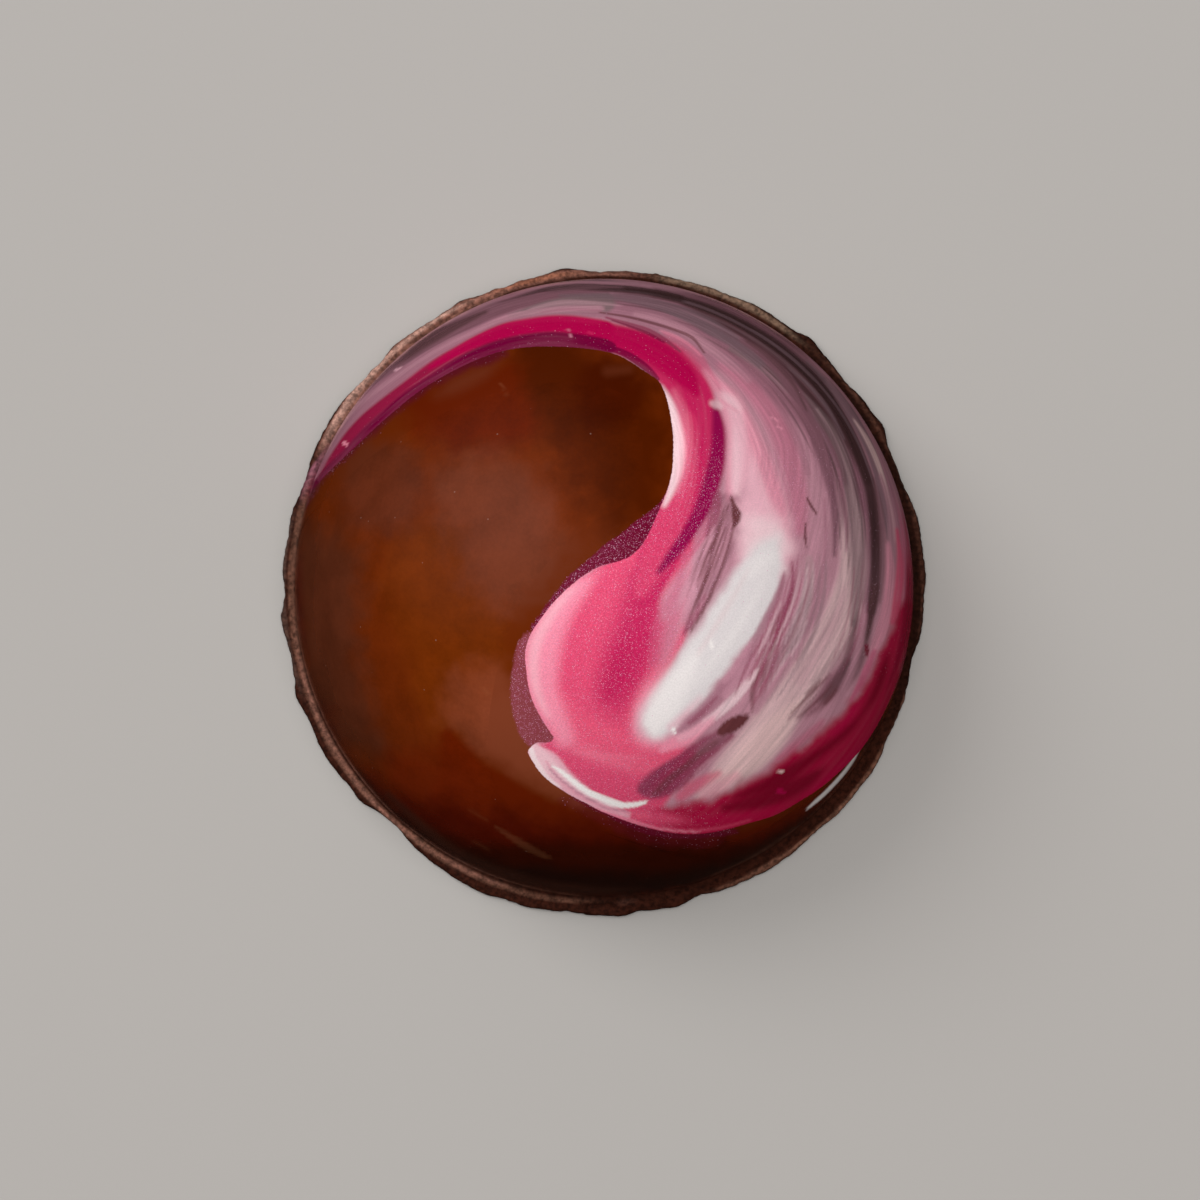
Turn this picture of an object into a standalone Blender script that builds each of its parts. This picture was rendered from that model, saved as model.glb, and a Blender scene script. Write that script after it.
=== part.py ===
"""A moulded chocolate praline: a glossy dome cast in a round mould and closed
underneath with a scraped layer of chocolate, whose edge stands out round the
dome as a thin, broken foot.

Metres, +Z up. The origin is the middle of the flat underside, on the surface
that the praline stands on.
"""

import math

import bmesh
import bpy

# ---------------------------------------------------------------- dimensions
DOME_RADIUS = 0.01400      # the mould's cavity, 28 mm across
DOME_RISE = 0.01480        # from the dome's widest ring up to its top
WALL_TOP = 0.00080         # height of the dome's widest ring above the table
FOOT_REACH = 0.00060       # how far the foot stands out past the dome, on average
FOOT_THICKNESS = 0.00052   # height of the foot's upper edge
FOOT_BEVEL = 0.00010       # the small chamfer that the scraper leaves underneath
CREASE_DEPTH = 0.00006     # the groove between the foot and the dome
CREASE_HEIGHT = 0.00060

SEGMENTS = 168             # steps round the axis
DOME_ROWS = 16             # rows from the widest ring to the top

# Waves that make the foot uneven: (waves round the ring, size, phase in degrees).
# The first one says that the foot stands out more at the front than at the back.
FOOT_WAVES = (
    (1, 0.00017, 266.0),
    (2, 0.00005, 125.0),
    (3, 0.00003, 70.0),
    (7, 0.00002, 15.0),
    (16, 0.00002, 200.0),
    (31, 0.00003, 75.0),
)
# Chips of chocolate that stand out of the foot: (degrees round the ring, width in degrees, reach, rise).
FOOT_CHIPS = (
    (30.0, 4.0, 0.00020, 0.00010),
    (50.5, 4.0, 0.00016, 0.00012),
    (64.0, 4.0, 0.00006, 0.00005),
    (97.5, 4.2, 0.00012, 0.00008),
    (116.0, 3.6, 0.00012, 0.00010),
    (148.0, 7.0, 0.00008, 0.00006),
    (185.0, 4.4, 0.00012, 0.00012),
    (200.0, 5.0, 0.00009, 0.00007),
    (221.0, 4.0, 0.00012, 0.00006),
    (249.0, 6.0, 0.00008, 0.00004),
    (273.0, 4.2, 0.00010, 0.00009),
    (299.0, 9.0, 0.00010, 0.00004),
    (322.0, 12.0, 0.00014, 0.00004),
)
# Places where the foot has broken away: (degrees round the ring, width in degrees, depth).
FOOT_NOTCHES = (
    (21.0, 15.0, 0.00020),
    (40.0, 5.0, 0.00012),
    (83.0, 4.0, 0.00006),
    (107.0, 4.0, 0.00007),
    (162.0, 6.0, 0.00010),
    (192.0, 4.0, 0.00009),
    (228.0, 16.0, 0.00034),
    (262.0, 5.0, 0.00008),
    (287.0, 4.0, 0.00012),
    (347.0, 9.0, 0.00020),
)


def bump(angle, centre, width):
    """1 at the centre of a chip, 0 from its width outwards, in degrees round the ring."""
    away = abs((angle - centre + 180.0) % 360.0 - 180.0) / width
    return 0.5 + 0.5 * math.cos(math.pi * away) if away < 1.0 else 0.0


def foot_shape(angle):
    """(how far the foot's edge moves out, how far its top moves up) at an angle in degrees."""
    reach = sum(size * math.cos(math.radians(waves * angle - phase)) for waves, size, phase in FOOT_WAVES)
    rise = 0.35 * reach
    for centre, width, out, up in FOOT_CHIPS:
        share = bump(angle, centre, width)
        reach += share * out
        rise += share * up
    for centre, width, depth in FOOT_NOTCHES:
        share = bump(angle, centre, width)
        reach -= share * depth
        rise -= 0.4 * share * depth
    return reach, rise


def dome_profile():
    """(radius, height, foot share) from the table's level up to the top of the dome. The foot share is 1 where the outline follows the foot's uneven edge."""
    foot = DOME_RADIUS + FOOT_REACH
    points = [
        (foot - 2.2 * FOOT_BEVEL, 0.0, 0.75),
        (foot - 0.4 * FOOT_BEVEL, FOOT_BEVEL, 1.0),
        (foot, 0.5 * FOOT_THICKNESS, 1.0),
        (foot - 0.6 * FOOT_BEVEL, 0.85 * FOOT_THICKNESS, 0.9),
        (foot - 2.4 * FOOT_BEVEL, FOOT_THICKNESS, 0.6),
        (DOME_RADIUS - CREASE_DEPTH, CREASE_HEIGHT, 0.0),
    ]
    for row in range(DOME_ROWS):
        turn = 0.5 * math.pi * row / DOME_ROWS
        points.append((DOME_RADIUS * math.cos(turn), WALL_TOP + DOME_RISE * math.sin(turn), 0.0))
    return points


def build_praline(collection):
    """The whole praline as one closed body: its outline turned about +Z, then the foot made uneven."""
    profile = dome_profile()
    top = WALL_TOP + DOME_RISE
    mesh = bmesh.new()
    shares = mesh.verts.layers.float.new("foot")
    outline = []
    for radius, height, share in profile:
        vert = mesh.verts.new((radius, 0.0, height))
        vert[shares] = share
        outline.append(vert)
    edges = [mesh.edges.new(pair) for pair in zip(outline, outline[1:])]
    bmesh.ops.spin(
        mesh,
        geom=outline + edges,
        cent=(0.0, 0.0, 0.0),
        axis=(0.0, 0.0, 1.0),
        angle=2.0 * math.pi,
        steps=SEGMENTS,
        use_merge=True,
    )
    bmesh.ops.remove_doubles(mesh, verts=mesh.verts[:], dist=1e-6)

    # The broken foot.
    for vert in mesh.verts:
        share = vert[shares]
        if share > 0.0:
            radius = math.hypot(vert.co.x, vert.co.y)
            angle = math.degrees(math.atan2(vert.co.y, vert.co.x))
            reach, rise = foot_shape(angle)
            scale = (radius + share * reach) / radius
            vert.co.x *= scale
            vert.co.y *= scale
            if vert.co.z > 0.4 * FOOT_THICKNESS:
                vert.co.z = min(vert.co.z + share * rise, CREASE_HEIGHT - 0.00002)

    # The flat underside and the cap at the very top, each closed with a fan.
    rings = [edge for edge in mesh.edges if edge.is_boundary]
    low = [edge for edge in rings if edge.verts[0].co.z < 0.5 * top]
    high = [edge for edge in rings if edge.verts[0].co.z >= 0.5 * top]
    for ring, height in ((low, 0.0), (high, top)):
        middle = mesh.verts.new((0.0, 0.0, height))
        for edge in ring:
            mesh.faces.new((edge.verts[0], edge.verts[1], middle))
    bmesh.ops.recalc_face_normals(mesh, faces=mesh.faces[:])

    # The middle of the outline stands on the origin.
    for axis in (0, 1):
        low_end = min(vert.co[axis] for vert in mesh.verts)
        high_end = max(vert.co[axis] for vert in mesh.verts)
        for vert in mesh.verts:
            vert.co[axis] -= 0.5 * (low_end + high_end)

    data = bpy.data.meshes.new("praline")
    mesh.to_mesh(data)
    mesh.free()
    data.shade_smooth()
    data.set_sharp_from_angle(angle=math.radians(35.0))
    praline = bpy.data.objects.new("praline", data)
    collection.objects.link(praline)
    return praline


def chocolate():
    """Tempered milk chocolate, glossy from the mould."""
    material = bpy.data.materials.new("chocolate")
    material.use_nodes = True
    shader = material.node_tree.nodes["Principled BSDF"]
    shader.inputs["Base Color"].default_value = (0.110, 0.028, 0.010, 1.0)
    shader.inputs["Roughness"].default_value = 0.25
    shader.inputs["Metallic"].default_value = 0.0
    return material


def main():
    for existing in list(bpy.data.objects):
        bpy.data.objects.remove(existing, do_unlink=True)
    scene = bpy.context.scene
    scene.unit_settings.system = "METRIC"
    scene.unit_settings.scale_length = 1.0
    praline = build_praline(scene.collection)
    praline.data.materials.append(chocolate())


main()
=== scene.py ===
"""The looks of a moulded chocolate praline: a glossy chocolate dome with brushed magenta and white
cocoa butter in its surface, on a thin, broken foot.

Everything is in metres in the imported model's frame. Two pieces stand for the CAD's one solid:
  praline_body    the whole moulded body: dome, foot and scraped underside
  cocoa_butter    the coloured coat, a thin skin let into the dome, on a grid that follows the brush
Places on the dome are plan coordinates: millimetres right and back of the dome's axis, as seen from above.
"""

import math

import bpy
import numpy as np
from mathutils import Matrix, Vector


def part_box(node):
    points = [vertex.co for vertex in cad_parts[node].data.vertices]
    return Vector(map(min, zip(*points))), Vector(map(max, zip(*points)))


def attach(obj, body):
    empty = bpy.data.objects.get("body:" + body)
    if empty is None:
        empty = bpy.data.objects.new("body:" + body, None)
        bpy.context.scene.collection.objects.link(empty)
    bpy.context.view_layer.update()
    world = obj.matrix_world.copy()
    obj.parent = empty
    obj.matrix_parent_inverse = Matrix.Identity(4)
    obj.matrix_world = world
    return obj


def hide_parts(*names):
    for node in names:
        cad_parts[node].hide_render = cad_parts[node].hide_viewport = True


# ------------------------------------------------------------------ the CAD's sizes, in metres
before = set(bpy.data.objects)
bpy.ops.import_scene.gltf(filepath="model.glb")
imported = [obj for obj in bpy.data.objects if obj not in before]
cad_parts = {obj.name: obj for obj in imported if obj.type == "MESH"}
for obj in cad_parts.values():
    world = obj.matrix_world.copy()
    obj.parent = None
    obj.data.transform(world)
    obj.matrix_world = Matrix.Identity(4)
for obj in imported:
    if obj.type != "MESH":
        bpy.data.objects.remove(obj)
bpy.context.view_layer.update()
LOW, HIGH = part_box("praline")

R = 0.01400                       # the dome's radius at its widest ring
WALL = 0.00080                    # that ring's height
RISE = HIGH.z - WALL              # from there up to the top
CREASE_Z = 0.00058
FOOT_REACH = 0.00060
FOOT_TOP = 0.00052
BEVEL = 0.00010

# The dome's axis: the middle of the CAD's vertices above the foot.
_cad = np.array([v.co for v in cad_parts["praline"].data.vertices], float)
_dome = _cad[_cad[:, 2] > 0.002]
AXIS = 0.5 * (_dome.min(0) + _dome.max(0))[:2]

# The foot's uneven outline, the same as the CAD's: waves, chips and broken places.
FOOT_WAVES = (
    (1, 0.00017, 266.0), (2, 0.00005, 125.0), (3, 0.00003, 70.0),
    (7, 0.00002, 15.0), (16, 0.00002, 200.0), (31, 0.00003, 75.0),
)
FOOT_CHIPS = (
    (30.0, 4.0, 0.00020, 0.00010), (50.5, 4.0, 0.00016, 0.00012), (64.0, 4.0, 0.00006, 0.00005),
    (97.5, 4.2, 0.00012, 0.00008), (116.0, 3.6, 0.00012, 0.00010), (148.0, 7.0, 0.00008, 0.00006),
    (185.0, 4.4, 0.00012, 0.00012), (200.0, 5.0, 0.00009, 0.00007), (221.0, 4.0, 0.00012, 0.00006),
    (249.0, 6.0, 0.00008, 0.00004), (273.0, 4.2, 0.00010, 0.00009), (299.0, 9.0, 0.00010, 0.00004),
    (322.0, 12.0, 0.00014, 0.00004),
)
FOOT_NOTCHES = (
    (21.0, 15.0, 0.00020), (40.0, 5.0, 0.00012), (83.0, 4.0, 0.00006), (107.0, 4.0, 0.00007),
    (162.0, 6.0, 0.00010), (192.0, 4.0, 0.00009), (228.0, 16.0, 0.00034), (262.0, 5.0, 0.00008),
    (287.0, 4.0, 0.00012), (347.0, 9.0, 0.00020),
)


def bump_at(deg, centre, width):
    away = np.abs((deg - centre + 180.0) % 360.0 - 180.0) / width
    return np.where(away < 1.0, 0.5 + 0.5 * np.cos(np.pi * np.minimum(away, 1.0)), 0.0)


def foot_shape(deg):
    """How far the foot's edge moves out and its top moves up, at angles in degrees round the ring."""
    reach = np.zeros_like(deg)
    for waves, size, phase in FOOT_WAVES:
        reach = reach + size * np.cos(np.radians(waves * deg - phase))
    rise = 0.35 * reach
    for centre, width, out, up in FOOT_CHIPS:
        share = bump_at(deg, centre, width)
        reach = reach + share * out
        rise = rise + share * up
    for centre, width, depth in FOOT_NOTCHES:
        share = bump_at(deg, centre, width)
        reach = reach - share * depth
        rise = rise - 0.4 * share * depth
    return reach, rise

# ------------------------------------------------------------------ noise in code, the same at each run
def hash01(i, j, k=0):
    """A fixed pseudo-random number from 0 to 1 for each lattice point."""
    h = (i.astype(np.int64) * 374761393 + j.astype(np.int64) * 668265263 + int(k) * 1442695041) & 0xFFFFFFFF
    h = ((h ^ (h >> 13)) * 1274126177) & 0xFFFFFFFF
    h = ((h ^ (h >> 16)) * 2246822519) & 0xFFFFFFFF
    return ((h ^ (h >> 15)) & 0xFFFFFF) / float(0xFFFFFF)


def noise2(x, y, seed=0):
    """Smooth value noise, -1 to 1, with a cell of 1."""
    i, j = np.floor(x), np.floor(y)
    fx, fy = x - i, y - j
    fx, fy = fx * fx * fx * (fx * (fx * 6 - 15) + 10), fy * fy * fy * (fy * (fy * 6 - 15) + 10)
    a, b = hash01(i, j, seed), hash01(i + 1, j, seed)
    c, d = hash01(i, j + 1, seed), hash01(i + 1, j + 1, seed)
    return 2.0 * ((a + (b - a) * fx) * (1 - fy) + (c + (d - c) * fx) * fy) - 1.0


def fractal(x, y, seed=0, octaves=4, gain=0.5):
    total, size, norm = np.zeros(np.broadcast(x, y).shape), 1.0, 0.0
    for k in range(octaves):
        total = total + size * noise2(x * 2.0**k, y * 2.0**k, seed + 17 * k)
        norm += size
        size *= gain
    return total / norm


def ring_noise(deg, cells, seed, octaves=3):
    """Noise round the ring that joins up with itself: cells is the number of cells round it."""
    total, size, norm = np.zeros_like(deg), 1.0, 0.0
    for k in range(octaves):
        n = cells * 2**k
        x = (deg % 360.0) / 360.0 * n
        i = np.floor(x)
        f = x - i
        f = f * f * (3 - 2 * f)
        zero = np.zeros_like(i)
        a, b = hash01(i % n, zero, seed + 31 * k), hash01((i + 1) % n, zero, seed + 31 * k)
        total += size * (2.0 * (a + (b - a) * f) - 1.0)
        norm += size
        size *= 0.55
    return total / norm


def smooth(low, high, x):
    t = np.clip((x - low) / (high - low), 0.0, 1.0)
    return t * t * (3.0 - 2.0 * t)


# ------------------------------------------------------------------ meshes
def dome_point(plan_x, plan_y, sink=0.0):
    """Points and outward normals of the dome for plan coordinates in millimetres from its axis."""
    x, y = plan_x * 1e-3, plan_y * 1e-3
    s = np.clip(np.hypot(x, y) / R, 0.0, 1.0)
    c = np.sqrt(1.0 - s * s)
    normal = np.stack([x / R**2, y / R**2, c / RISE], -1)
    normal /= np.linalg.norm(normal, axis=-1, keepdims=True)
    point = np.stack([x + AXIS[0], y + AXIS[1], WALL + RISE * c], -1)
    return point - normal * np.asarray(sink)[..., None], normal


def zipper(start_a, n_a, phase_a, start_b, n_b, phase_b):
    """Triangles between two closed rings with different numbers of points; ring a is the lower one, and faces point out."""
    faces, i, j = [], 0, 0
    while i < n_a or j < n_b:
        next_a = (i + 1 + phase_a) / n_a if i < n_a else 9.0
        next_b = (j + 1 + phase_b) / n_b if j < n_b else 9.0
        a, b = start_a + i % n_a, start_b + j % n_b
        if next_a <= next_b:
            faces.append((a, start_a + (i + 1) % n_a, b))
            i += 1
        else:
            faces.append((a, start_b + (j + 1) % n_b, b))
            j += 1
    return faces


def make_object(name, points, faces, normals=None):
    mesh = bpy.data.meshes.new(name)
    mesh.from_pydata(points.tolist(), [], faces)
    mesh.update()
    mesh.shade_smooth()
    if normals is not None:
        mesh.normals_split_custom_set_from_vertices(normals.tolist())
    piece = bpy.data.objects.new(name, mesh)
    bpy.context.scene.collection.objects.link(piece)
    return piece


def store(piece, name, values, kind="FLOAT"):
    layer = piece.data.attributes.new(name, kind, "POINT")
    values = np.asarray(values, np.float32)
    field = {"FLOAT": "value", "FLOAT_VECTOR": "vector", "FLOAT_COLOR": "color"}[kind]
    layer.data.foreach_set(field, values.ravel())


# ------------------------------------------------------------------ the body: rings from the apex to the underside's middle
EDGE_STEPS = 1440           # points round the foot
DOME_STEP = 0.00021         # point spacing on the dome


def body_rings():
    """Each ring: (its kind, points round it, and its polar angle on the dome or, for the other parts, its share of the
    way across).
    """
    rings = []
    count = int(round(0.5 * math.pi * 0.5 * (R + RISE) / DOME_STEP))
    for k in range(1, count + 1):
        t = 0.5 * math.pi * k / count
        n = max(6, int(round(2.0 * math.pi * R * math.sin(t) / DOME_STEP)))
        if t > math.radians(80.0):   # the lowest rows take the foot's own count, so that the crease is clean
            n = EDGE_STEPS // 2
        if t > math.radians(87.5):
            n = EDGE_STEPS
        rings.append(("dome", n, t))
    for k, share in enumerate((0.35, 0.7, 1.0)):
        rings.append(("crease", EDGE_STEPS, share))
    for share in (0.08, 0.2, 0.34, 0.48, 0.62, 0.76, 0.88, 0.96, 1.0):
        rings.append(("top", EDGE_STEPS, share))
    for share in (0.2, 0.4, 0.6, 0.8, 1.0):
        rings.append(("edge", EDGE_STEPS, share))
    for share in (0.0, 0.3, 0.65, 1.0):
        rings.append(("bevel", EDGE_STEPS, share))
    r, n = 0.985, EDGE_STEPS // 2
    while r > 0.03:
        rings.append(("under", n, r))
        r -= 0.0003 / R
        n = max(8, int(round(2.0 * math.pi * R * r / 0.00034)))
    return rings


def foot_outline(deg):
    """Outer radius, height of the outer top edge, and roughness share of the foot, with fine breaks the CAD leaves out."""
    reach, rise = foot_shape(deg)
    crumb = ring_noise(deg, 150, 3, 3)
    chip = np.clip(ring_noise(deg, 47, 9, 2) - 0.25, 0.0, 1.0)
    radius = R + FOOT_REACH + reach + 0.00005 * crumb + 0.00009 * chip
    radius = np.maximum(radius, R + 0.00018)
    top = FOOT_TOP + rise + 0.00003 * ring_noise(deg, 210, 21, 3) + 0.00006 * chip
    return radius, np.clip(top, 0.00032, 0.00074)


def build_body():
    rings = body_rings()
    points, normals, share_foot, start = [], [], [], []
    apex, apex_normal = dome_point(np.array([0.0]), np.array([0.0]))
    points.append(apex)
    place = 1
    for kind, n, value in rings:
        deg = 360.0 * (np.arange(n) + 0.5 * (len(start) % 2 if kind == "dome" else 0)) / n
        a = np.radians(deg)
        radius, top = foot_outline(deg)
        wall = FOOT_TOP + 0.00006
        foot = np.ones(n)
        if kind == "dome":
            r = np.full(n, R * math.sin(value))
            z = np.full(n, WALL + RISE * math.cos(value))
            foot = np.zeros(n)
        elif kind == "crease":
            crease_z = np.minimum(CREASE_Z, top + 0.00006)
            r = np.full(n, R - 0.00006 * value)
            z = WALL + (crease_z - WALL) * value
            foot = np.full(n, 0.5 * value)
        elif kind == "top":
            inner = R - 0.00006
            crease_z = np.minimum(CREASE_Z, top + 0.00006)
            r = inner + (radius - 0.00005 - inner) * value
            dip = -0.00005 * np.sin(np.pi * min(value * 1.6, 1.0))
            z = crease_z + (top - crease_z) * value + dip
            rough = fractal(deg * 1.1, np.full(n, value * 5.0), 77, 3)
            z = z + 0.00003 * rough * math.sin(math.pi * min(1.0, value + 0.06))
            z = z - 0.00004 * max(0.0, value - 0.85) / 0.15
        elif kind == "edge":
            swell = math.sin(math.pi * value)
            r = radius - 0.00005 + 0.00006 * swell
            r = r + 0.00003 * fractal(deg * 1.3, np.full(n, 3.0 * value), 51, 3)
            z = (top - 0.00004) + (BEVEL - top + 0.00004) * value
        elif kind == "bevel":
            r = radius - 0.00004 - 0.00018 * value
            z = np.full(n, BEVEL * (1.0 - value) ** 1.3)
        else:
            r = (radius - 0.00022) * value
            z = 0.00001 * (1.0 - value) * np.zeros(n)
        points.append(np.stack([AXIS[0] + r * np.cos(a), AXIS[1] + r * np.sin(a), z], -1))
        start.append(place)
        share_foot.append(foot)
        place += n
    last = np.array([[AXIS[0], AXIS[1], 0.0]])
    points.append(last)
    points = np.concatenate(points)
    foot = np.concatenate([[0.0]] + share_foot + [[1.0]])

    faces = []
    n0 = rings[0][1]
    for j in range(n0):
        faces.append((0, start[0] + j, start[0] + (j + 1) % n0))
    for k in range(len(rings) - 1):
        (kind_a, n_a, _), (kind_b, n_b, _) = rings[k + 1], rings[k]
        off_a = 0.5 * ((k + 1) % 2) if kind_a == "dome" else 0.0
        off_b = 0.5 * (k % 2) if kind_b == "dome" else 0.0
        if n_a == n_b and off_a == off_b:
            for j in range(n_a):
                p, q = start[k + 1] + j, start[k + 1] + (j + 1) % n_a
                s, t = start[k] + (j + 1) % n_a, start[k] + j
                faces.append((p, q, s))
                faces.append((p, s, t))
        else:
            faces.extend(zipper(start[k + 1], n_a, off_a, start[k], n_b, off_b))
    n_last = rings[-1][1]
    for j in range(n_last):
        faces.append((place, start[-1] + (j + 1) % n_last, start[-1] + j))
    return points, faces, foot


# ------------------------------------------------------------------ the coat: a skin on a grid that follows the brush
def spline(points, count, closed=False):
    """count points evenly spaced along a smooth curve through the given points (centripetal Catmull-Rom)."""
    p = np.asarray(points, float)
    if closed:
        p = np.concatenate([p[-1:], p, p[:2]])
    else:
        p = np.concatenate([2 * p[:1] - p[1:2], p, 2 * p[-1:] - p[-2:-1]])
    out = []
    for k in range(1, len(p) - 2):
        p0, p1, p2, p3 = p[k - 1], p[k], p[k + 1], p[k + 2]
        t0 = 0.0
        t1 = t0 + max(np.linalg.norm(p1 - p0), 1e-9) ** 0.5
        t2 = t1 + max(np.linalg.norm(p2 - p1), 1e-9) ** 0.5
        t3 = t2 + max(np.linalg.norm(p3 - p2), 1e-9) ** 0.5
        t = np.linspace(t1, t2, 24, endpoint=False)[:, None]
        a1 = (t1 - t) / (t1 - t0) * p0 + (t - t0) / (t1 - t0) * p1
        a2 = (t2 - t) / (t2 - t1) * p1 + (t - t1) / (t2 - t1) * p2
        a3 = (t3 - t) / (t3 - t2) * p2 + (t - t2) / (t3 - t2) * p3
        b1 = (t2 - t) / (t2 - t0) * a1 + (t - t0) / (t2 - t0) * a2
        b2 = (t3 - t) / (t3 - t1) * a2 + (t - t1) / (t3 - t1) * a3
        out.append((t2 - t) / (t2 - t1) * b1 + (t - t1) / (t2 - t1) * b2)
    out.append(p[-2:-1])
    dense = np.concatenate(out)
    length = np.concatenate([[0.0], np.cumsum(np.linalg.norm(np.diff(dense, axis=0), axis=1))])
    at = np.linspace(0.0, length[-1], count)
    return np.stack([np.interp(at, length, dense[:, k]) for k in range(dense.shape[1])], -1)


MM = 1000.0 * R             # the dome's radius in millimetres


def to_map(plan):
    """Plan millimetres to the dome's own map: the same direction, at the arc's length from the top."""
    plan = np.asarray(plan, float)
    r = np.hypot(plan[..., 0], plan[..., 1])
    t = np.arcsin(np.clip(r / MM, 0.0, 1.0))
    scale = np.where(r > 1e-9, t * MM / np.maximum(r, 1e-9), 1.0)
    return plan * scale[..., None]


def to_plan(place):
    rho = np.hypot(place[..., 0], place[..., 1])
    t = np.clip(rho / MM, 0.0, 0.5 * math.pi)
    scale = np.where(rho > 1e-9, np.sin(t) * MM / np.maximum(rho, 1e-9), 1.0)
    return place * scale[..., None]


# Pairs of places, on the coat's inner and outer edge, from the tip of the stroke on the left, over
# the back and down the right side to the lip at the front. Both edges lie a little outside the colour.
RIBBON = [
    ((-13.76, 2.48), (-13.93, 1.25)),
    ((-13.07, 3.31), (-13.82, 2.14)),
    ((-11.99, 4.26), (-13.57, 3.38)),
    ((-10.56, 5.61), (-13.07, 4.96)),
    ((-8.89, 6.69), (-12.18, 6.88)),
    ((-6.93, 7.72), (-10.61, 9.12)),
    ((-4.90, 8.49), (-8.39, 11.10)),
    ((-2.88, 8.91), (-5.87, 12.69)),
    ((-1.05, 8.99), (-3.02, 13.57)),
    ((0.35, 8.72), (0.00, 13.97)),
    ((1.22, 8.10), (2.89, 13.63)),
    ((1.56, 7.08), (5.65, 12.79)),
    ((1.69, 5.89), (8.17, 11.28)),
    ((1.56, 4.67), (10.35, 9.40)),
    ((1.04, 3.72), (12.07, 7.05)),
    ((0.00, 3.02), (13.24, 4.43)),
    ((-1.38, 2.24), (13.88, 1.72)),
    ((-2.68, 0.95), (13.92, -1.08)),
    ((-3.80, -0.78), (13.46, -3.79)),
    ((-4.50, -2.68), (12.63, -6.01)),
    ((-4.95, -4.69), (11.36, -8.15)),
    ((-5.14, -6.36), (9.76, -10.02)),
    ((-5.07, -7.69), (7.72, -11.66)),
    ((-4.73, -8.76), (4.98, -11.92)),
    ((-4.21, -9.56), (2.66, -11.95)),
    ((-3.51, -10.19), (0.62, -11.55)),
]
BRUSH_WIDTH = 12.0            # millimetres, as the brush's streaks count them
BEND = ((0, 0.0), (14, 0.0), (16, 0.065), (17, 0.085), (18, 0.133), (19, 0.152), (20, 0.187), (21, 0.21), (22, 0.23), (25, 0.28))
COAT_ALONG = 432
COAT_ACROSS = 210
COAT_LIFT = 0.000010          # how far the coat stands proud of the dome
COAT_EDGE_SINK = 0.000012     # its border lies just under the chocolate
COAT_DEPTH = 0.000045         # its underside


def coat_grid():
    """Plan millimetres of the coat's grid points, and their flow places: millimetres along and across the brush."""
    outer_plan = np.array([pair[1] for pair in RIBBON], float)
    r = np.hypot(outer_plan[:, 0], outer_plan[:, 1])
    outer_map = to_map(outer_plan)
    cap = math.radians(89.4) * MM
    far = r > 0.990 * MM      # places on the rim go right down to the widest ring
    outer_map[far] *= (cap / np.hypot(outer_map[far, 0], outer_map[far, 1]))[:, None]
    # Both edges keep their pairs: each is read by pair number and not by length.
    inner = by_pair(to_map([pair[0] for pair in RIBBON]), COAT_ALONG)
    outer = by_pair(outer_map, COAT_ALONG)
    # Between places on the rim the outer edge follows the ring itself.
    pull = np.interp(np.linspace(0, len(RIBBON) - 1, COAT_ALONG), np.arange(len(RIBBON)), far.astype(float))
    size = np.hypot(outer[:, 0], outer[:, 1])
    outer *= (1.0 + smooth(0.0, 1.0, pull) * (cap / size - 1.0))[:, None]
    outer *= np.minimum(1.0, cap / np.hypot(outer[:, 0], outer[:, 1]))[:, None]
    v = np.linspace(0.0, 1.0, COAT_ACROSS)
    grid = inner[:, None, :] * (1 - v)[None, :, None] + outer[:, None, :] * v[None, :, None]
    # The rows are spaced by what shows from above as well as by the dome's own surface.
    step = np.linalg.norm(np.diff(to_plan(grid), axis=1), axis=2) + 0.45 * np.linalg.norm(np.diff(grid, axis=1), axis=2)
    length = np.concatenate([np.zeros((len(grid), 1)), np.cumsum(step, axis=1)], axis=1)
    length /= length[:, -1:]
    even = np.linspace(0.0, 1.0, COAT_ACROSS)
    across = np.stack([np.interp(even, row, v) for row in length])
    grid = inner[:, None, :] * (1 - across)[..., None] + outer[:, None, :] * across[..., None]
    middle = grid[:, COAT_ACROSS // 2]
    along_mm = np.concatenate([[0.0], np.cumsum(np.linalg.norm(np.diff(middle, axis=0), axis=1))])
    # The bristles' own lines: they drift inwards along the front, where the colour runs together at its tail.
    pair = np.linspace(0, len(RIBBON) - 1, COAT_ALONG)
    bend = np.interp(pair, [number for number, _ in BEND], [drift for _, drift in BEND])
    line = across + bend[:, None] * 4.0 * across * (1.0 - across)
    width_mm = np.minimum(np.linalg.norm(outer - inner, axis=1), BRUSH_WIDTH)
    flow = np.stack([np.repeat(along_mm[:, None], COAT_ACROSS, 1), line * width_mm[:, None]], -1)
    return to_plan(grid), flow


def by_pair(points, count):
    """A smooth curve through the points, evenly sampled along its length but with matched pairs kept opposite each other."""
    points = np.asarray(points, float)
    dense = []
    for k in range(2):
        dense.append(np.interp(np.linspace(0, len(points) - 1, 25 * (len(points) - 1) + 1), np.arange(len(points)), points[:, k]))
    line = np.stack(dense, -1)
    # Three passes of a moving average round the corners off without moving the ends.
    for _ in range(3):
        kernel = np.hanning(31)
        kernel /= kernel.sum()
        padded = np.concatenate([2 * line[:1] - line[15:0:-1], line, 2 * line[-1:] - line[-2:-17:-1]])
        line = np.stack([np.convolve(padded[:, k], kernel, mode="valid") for k in range(2)], -1)
    at = np.linspace(0, len(line) - 1, count)
    return np.stack([np.interp(at, np.arange(len(line)), line[:, k]) for k in range(2)], -1)


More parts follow.
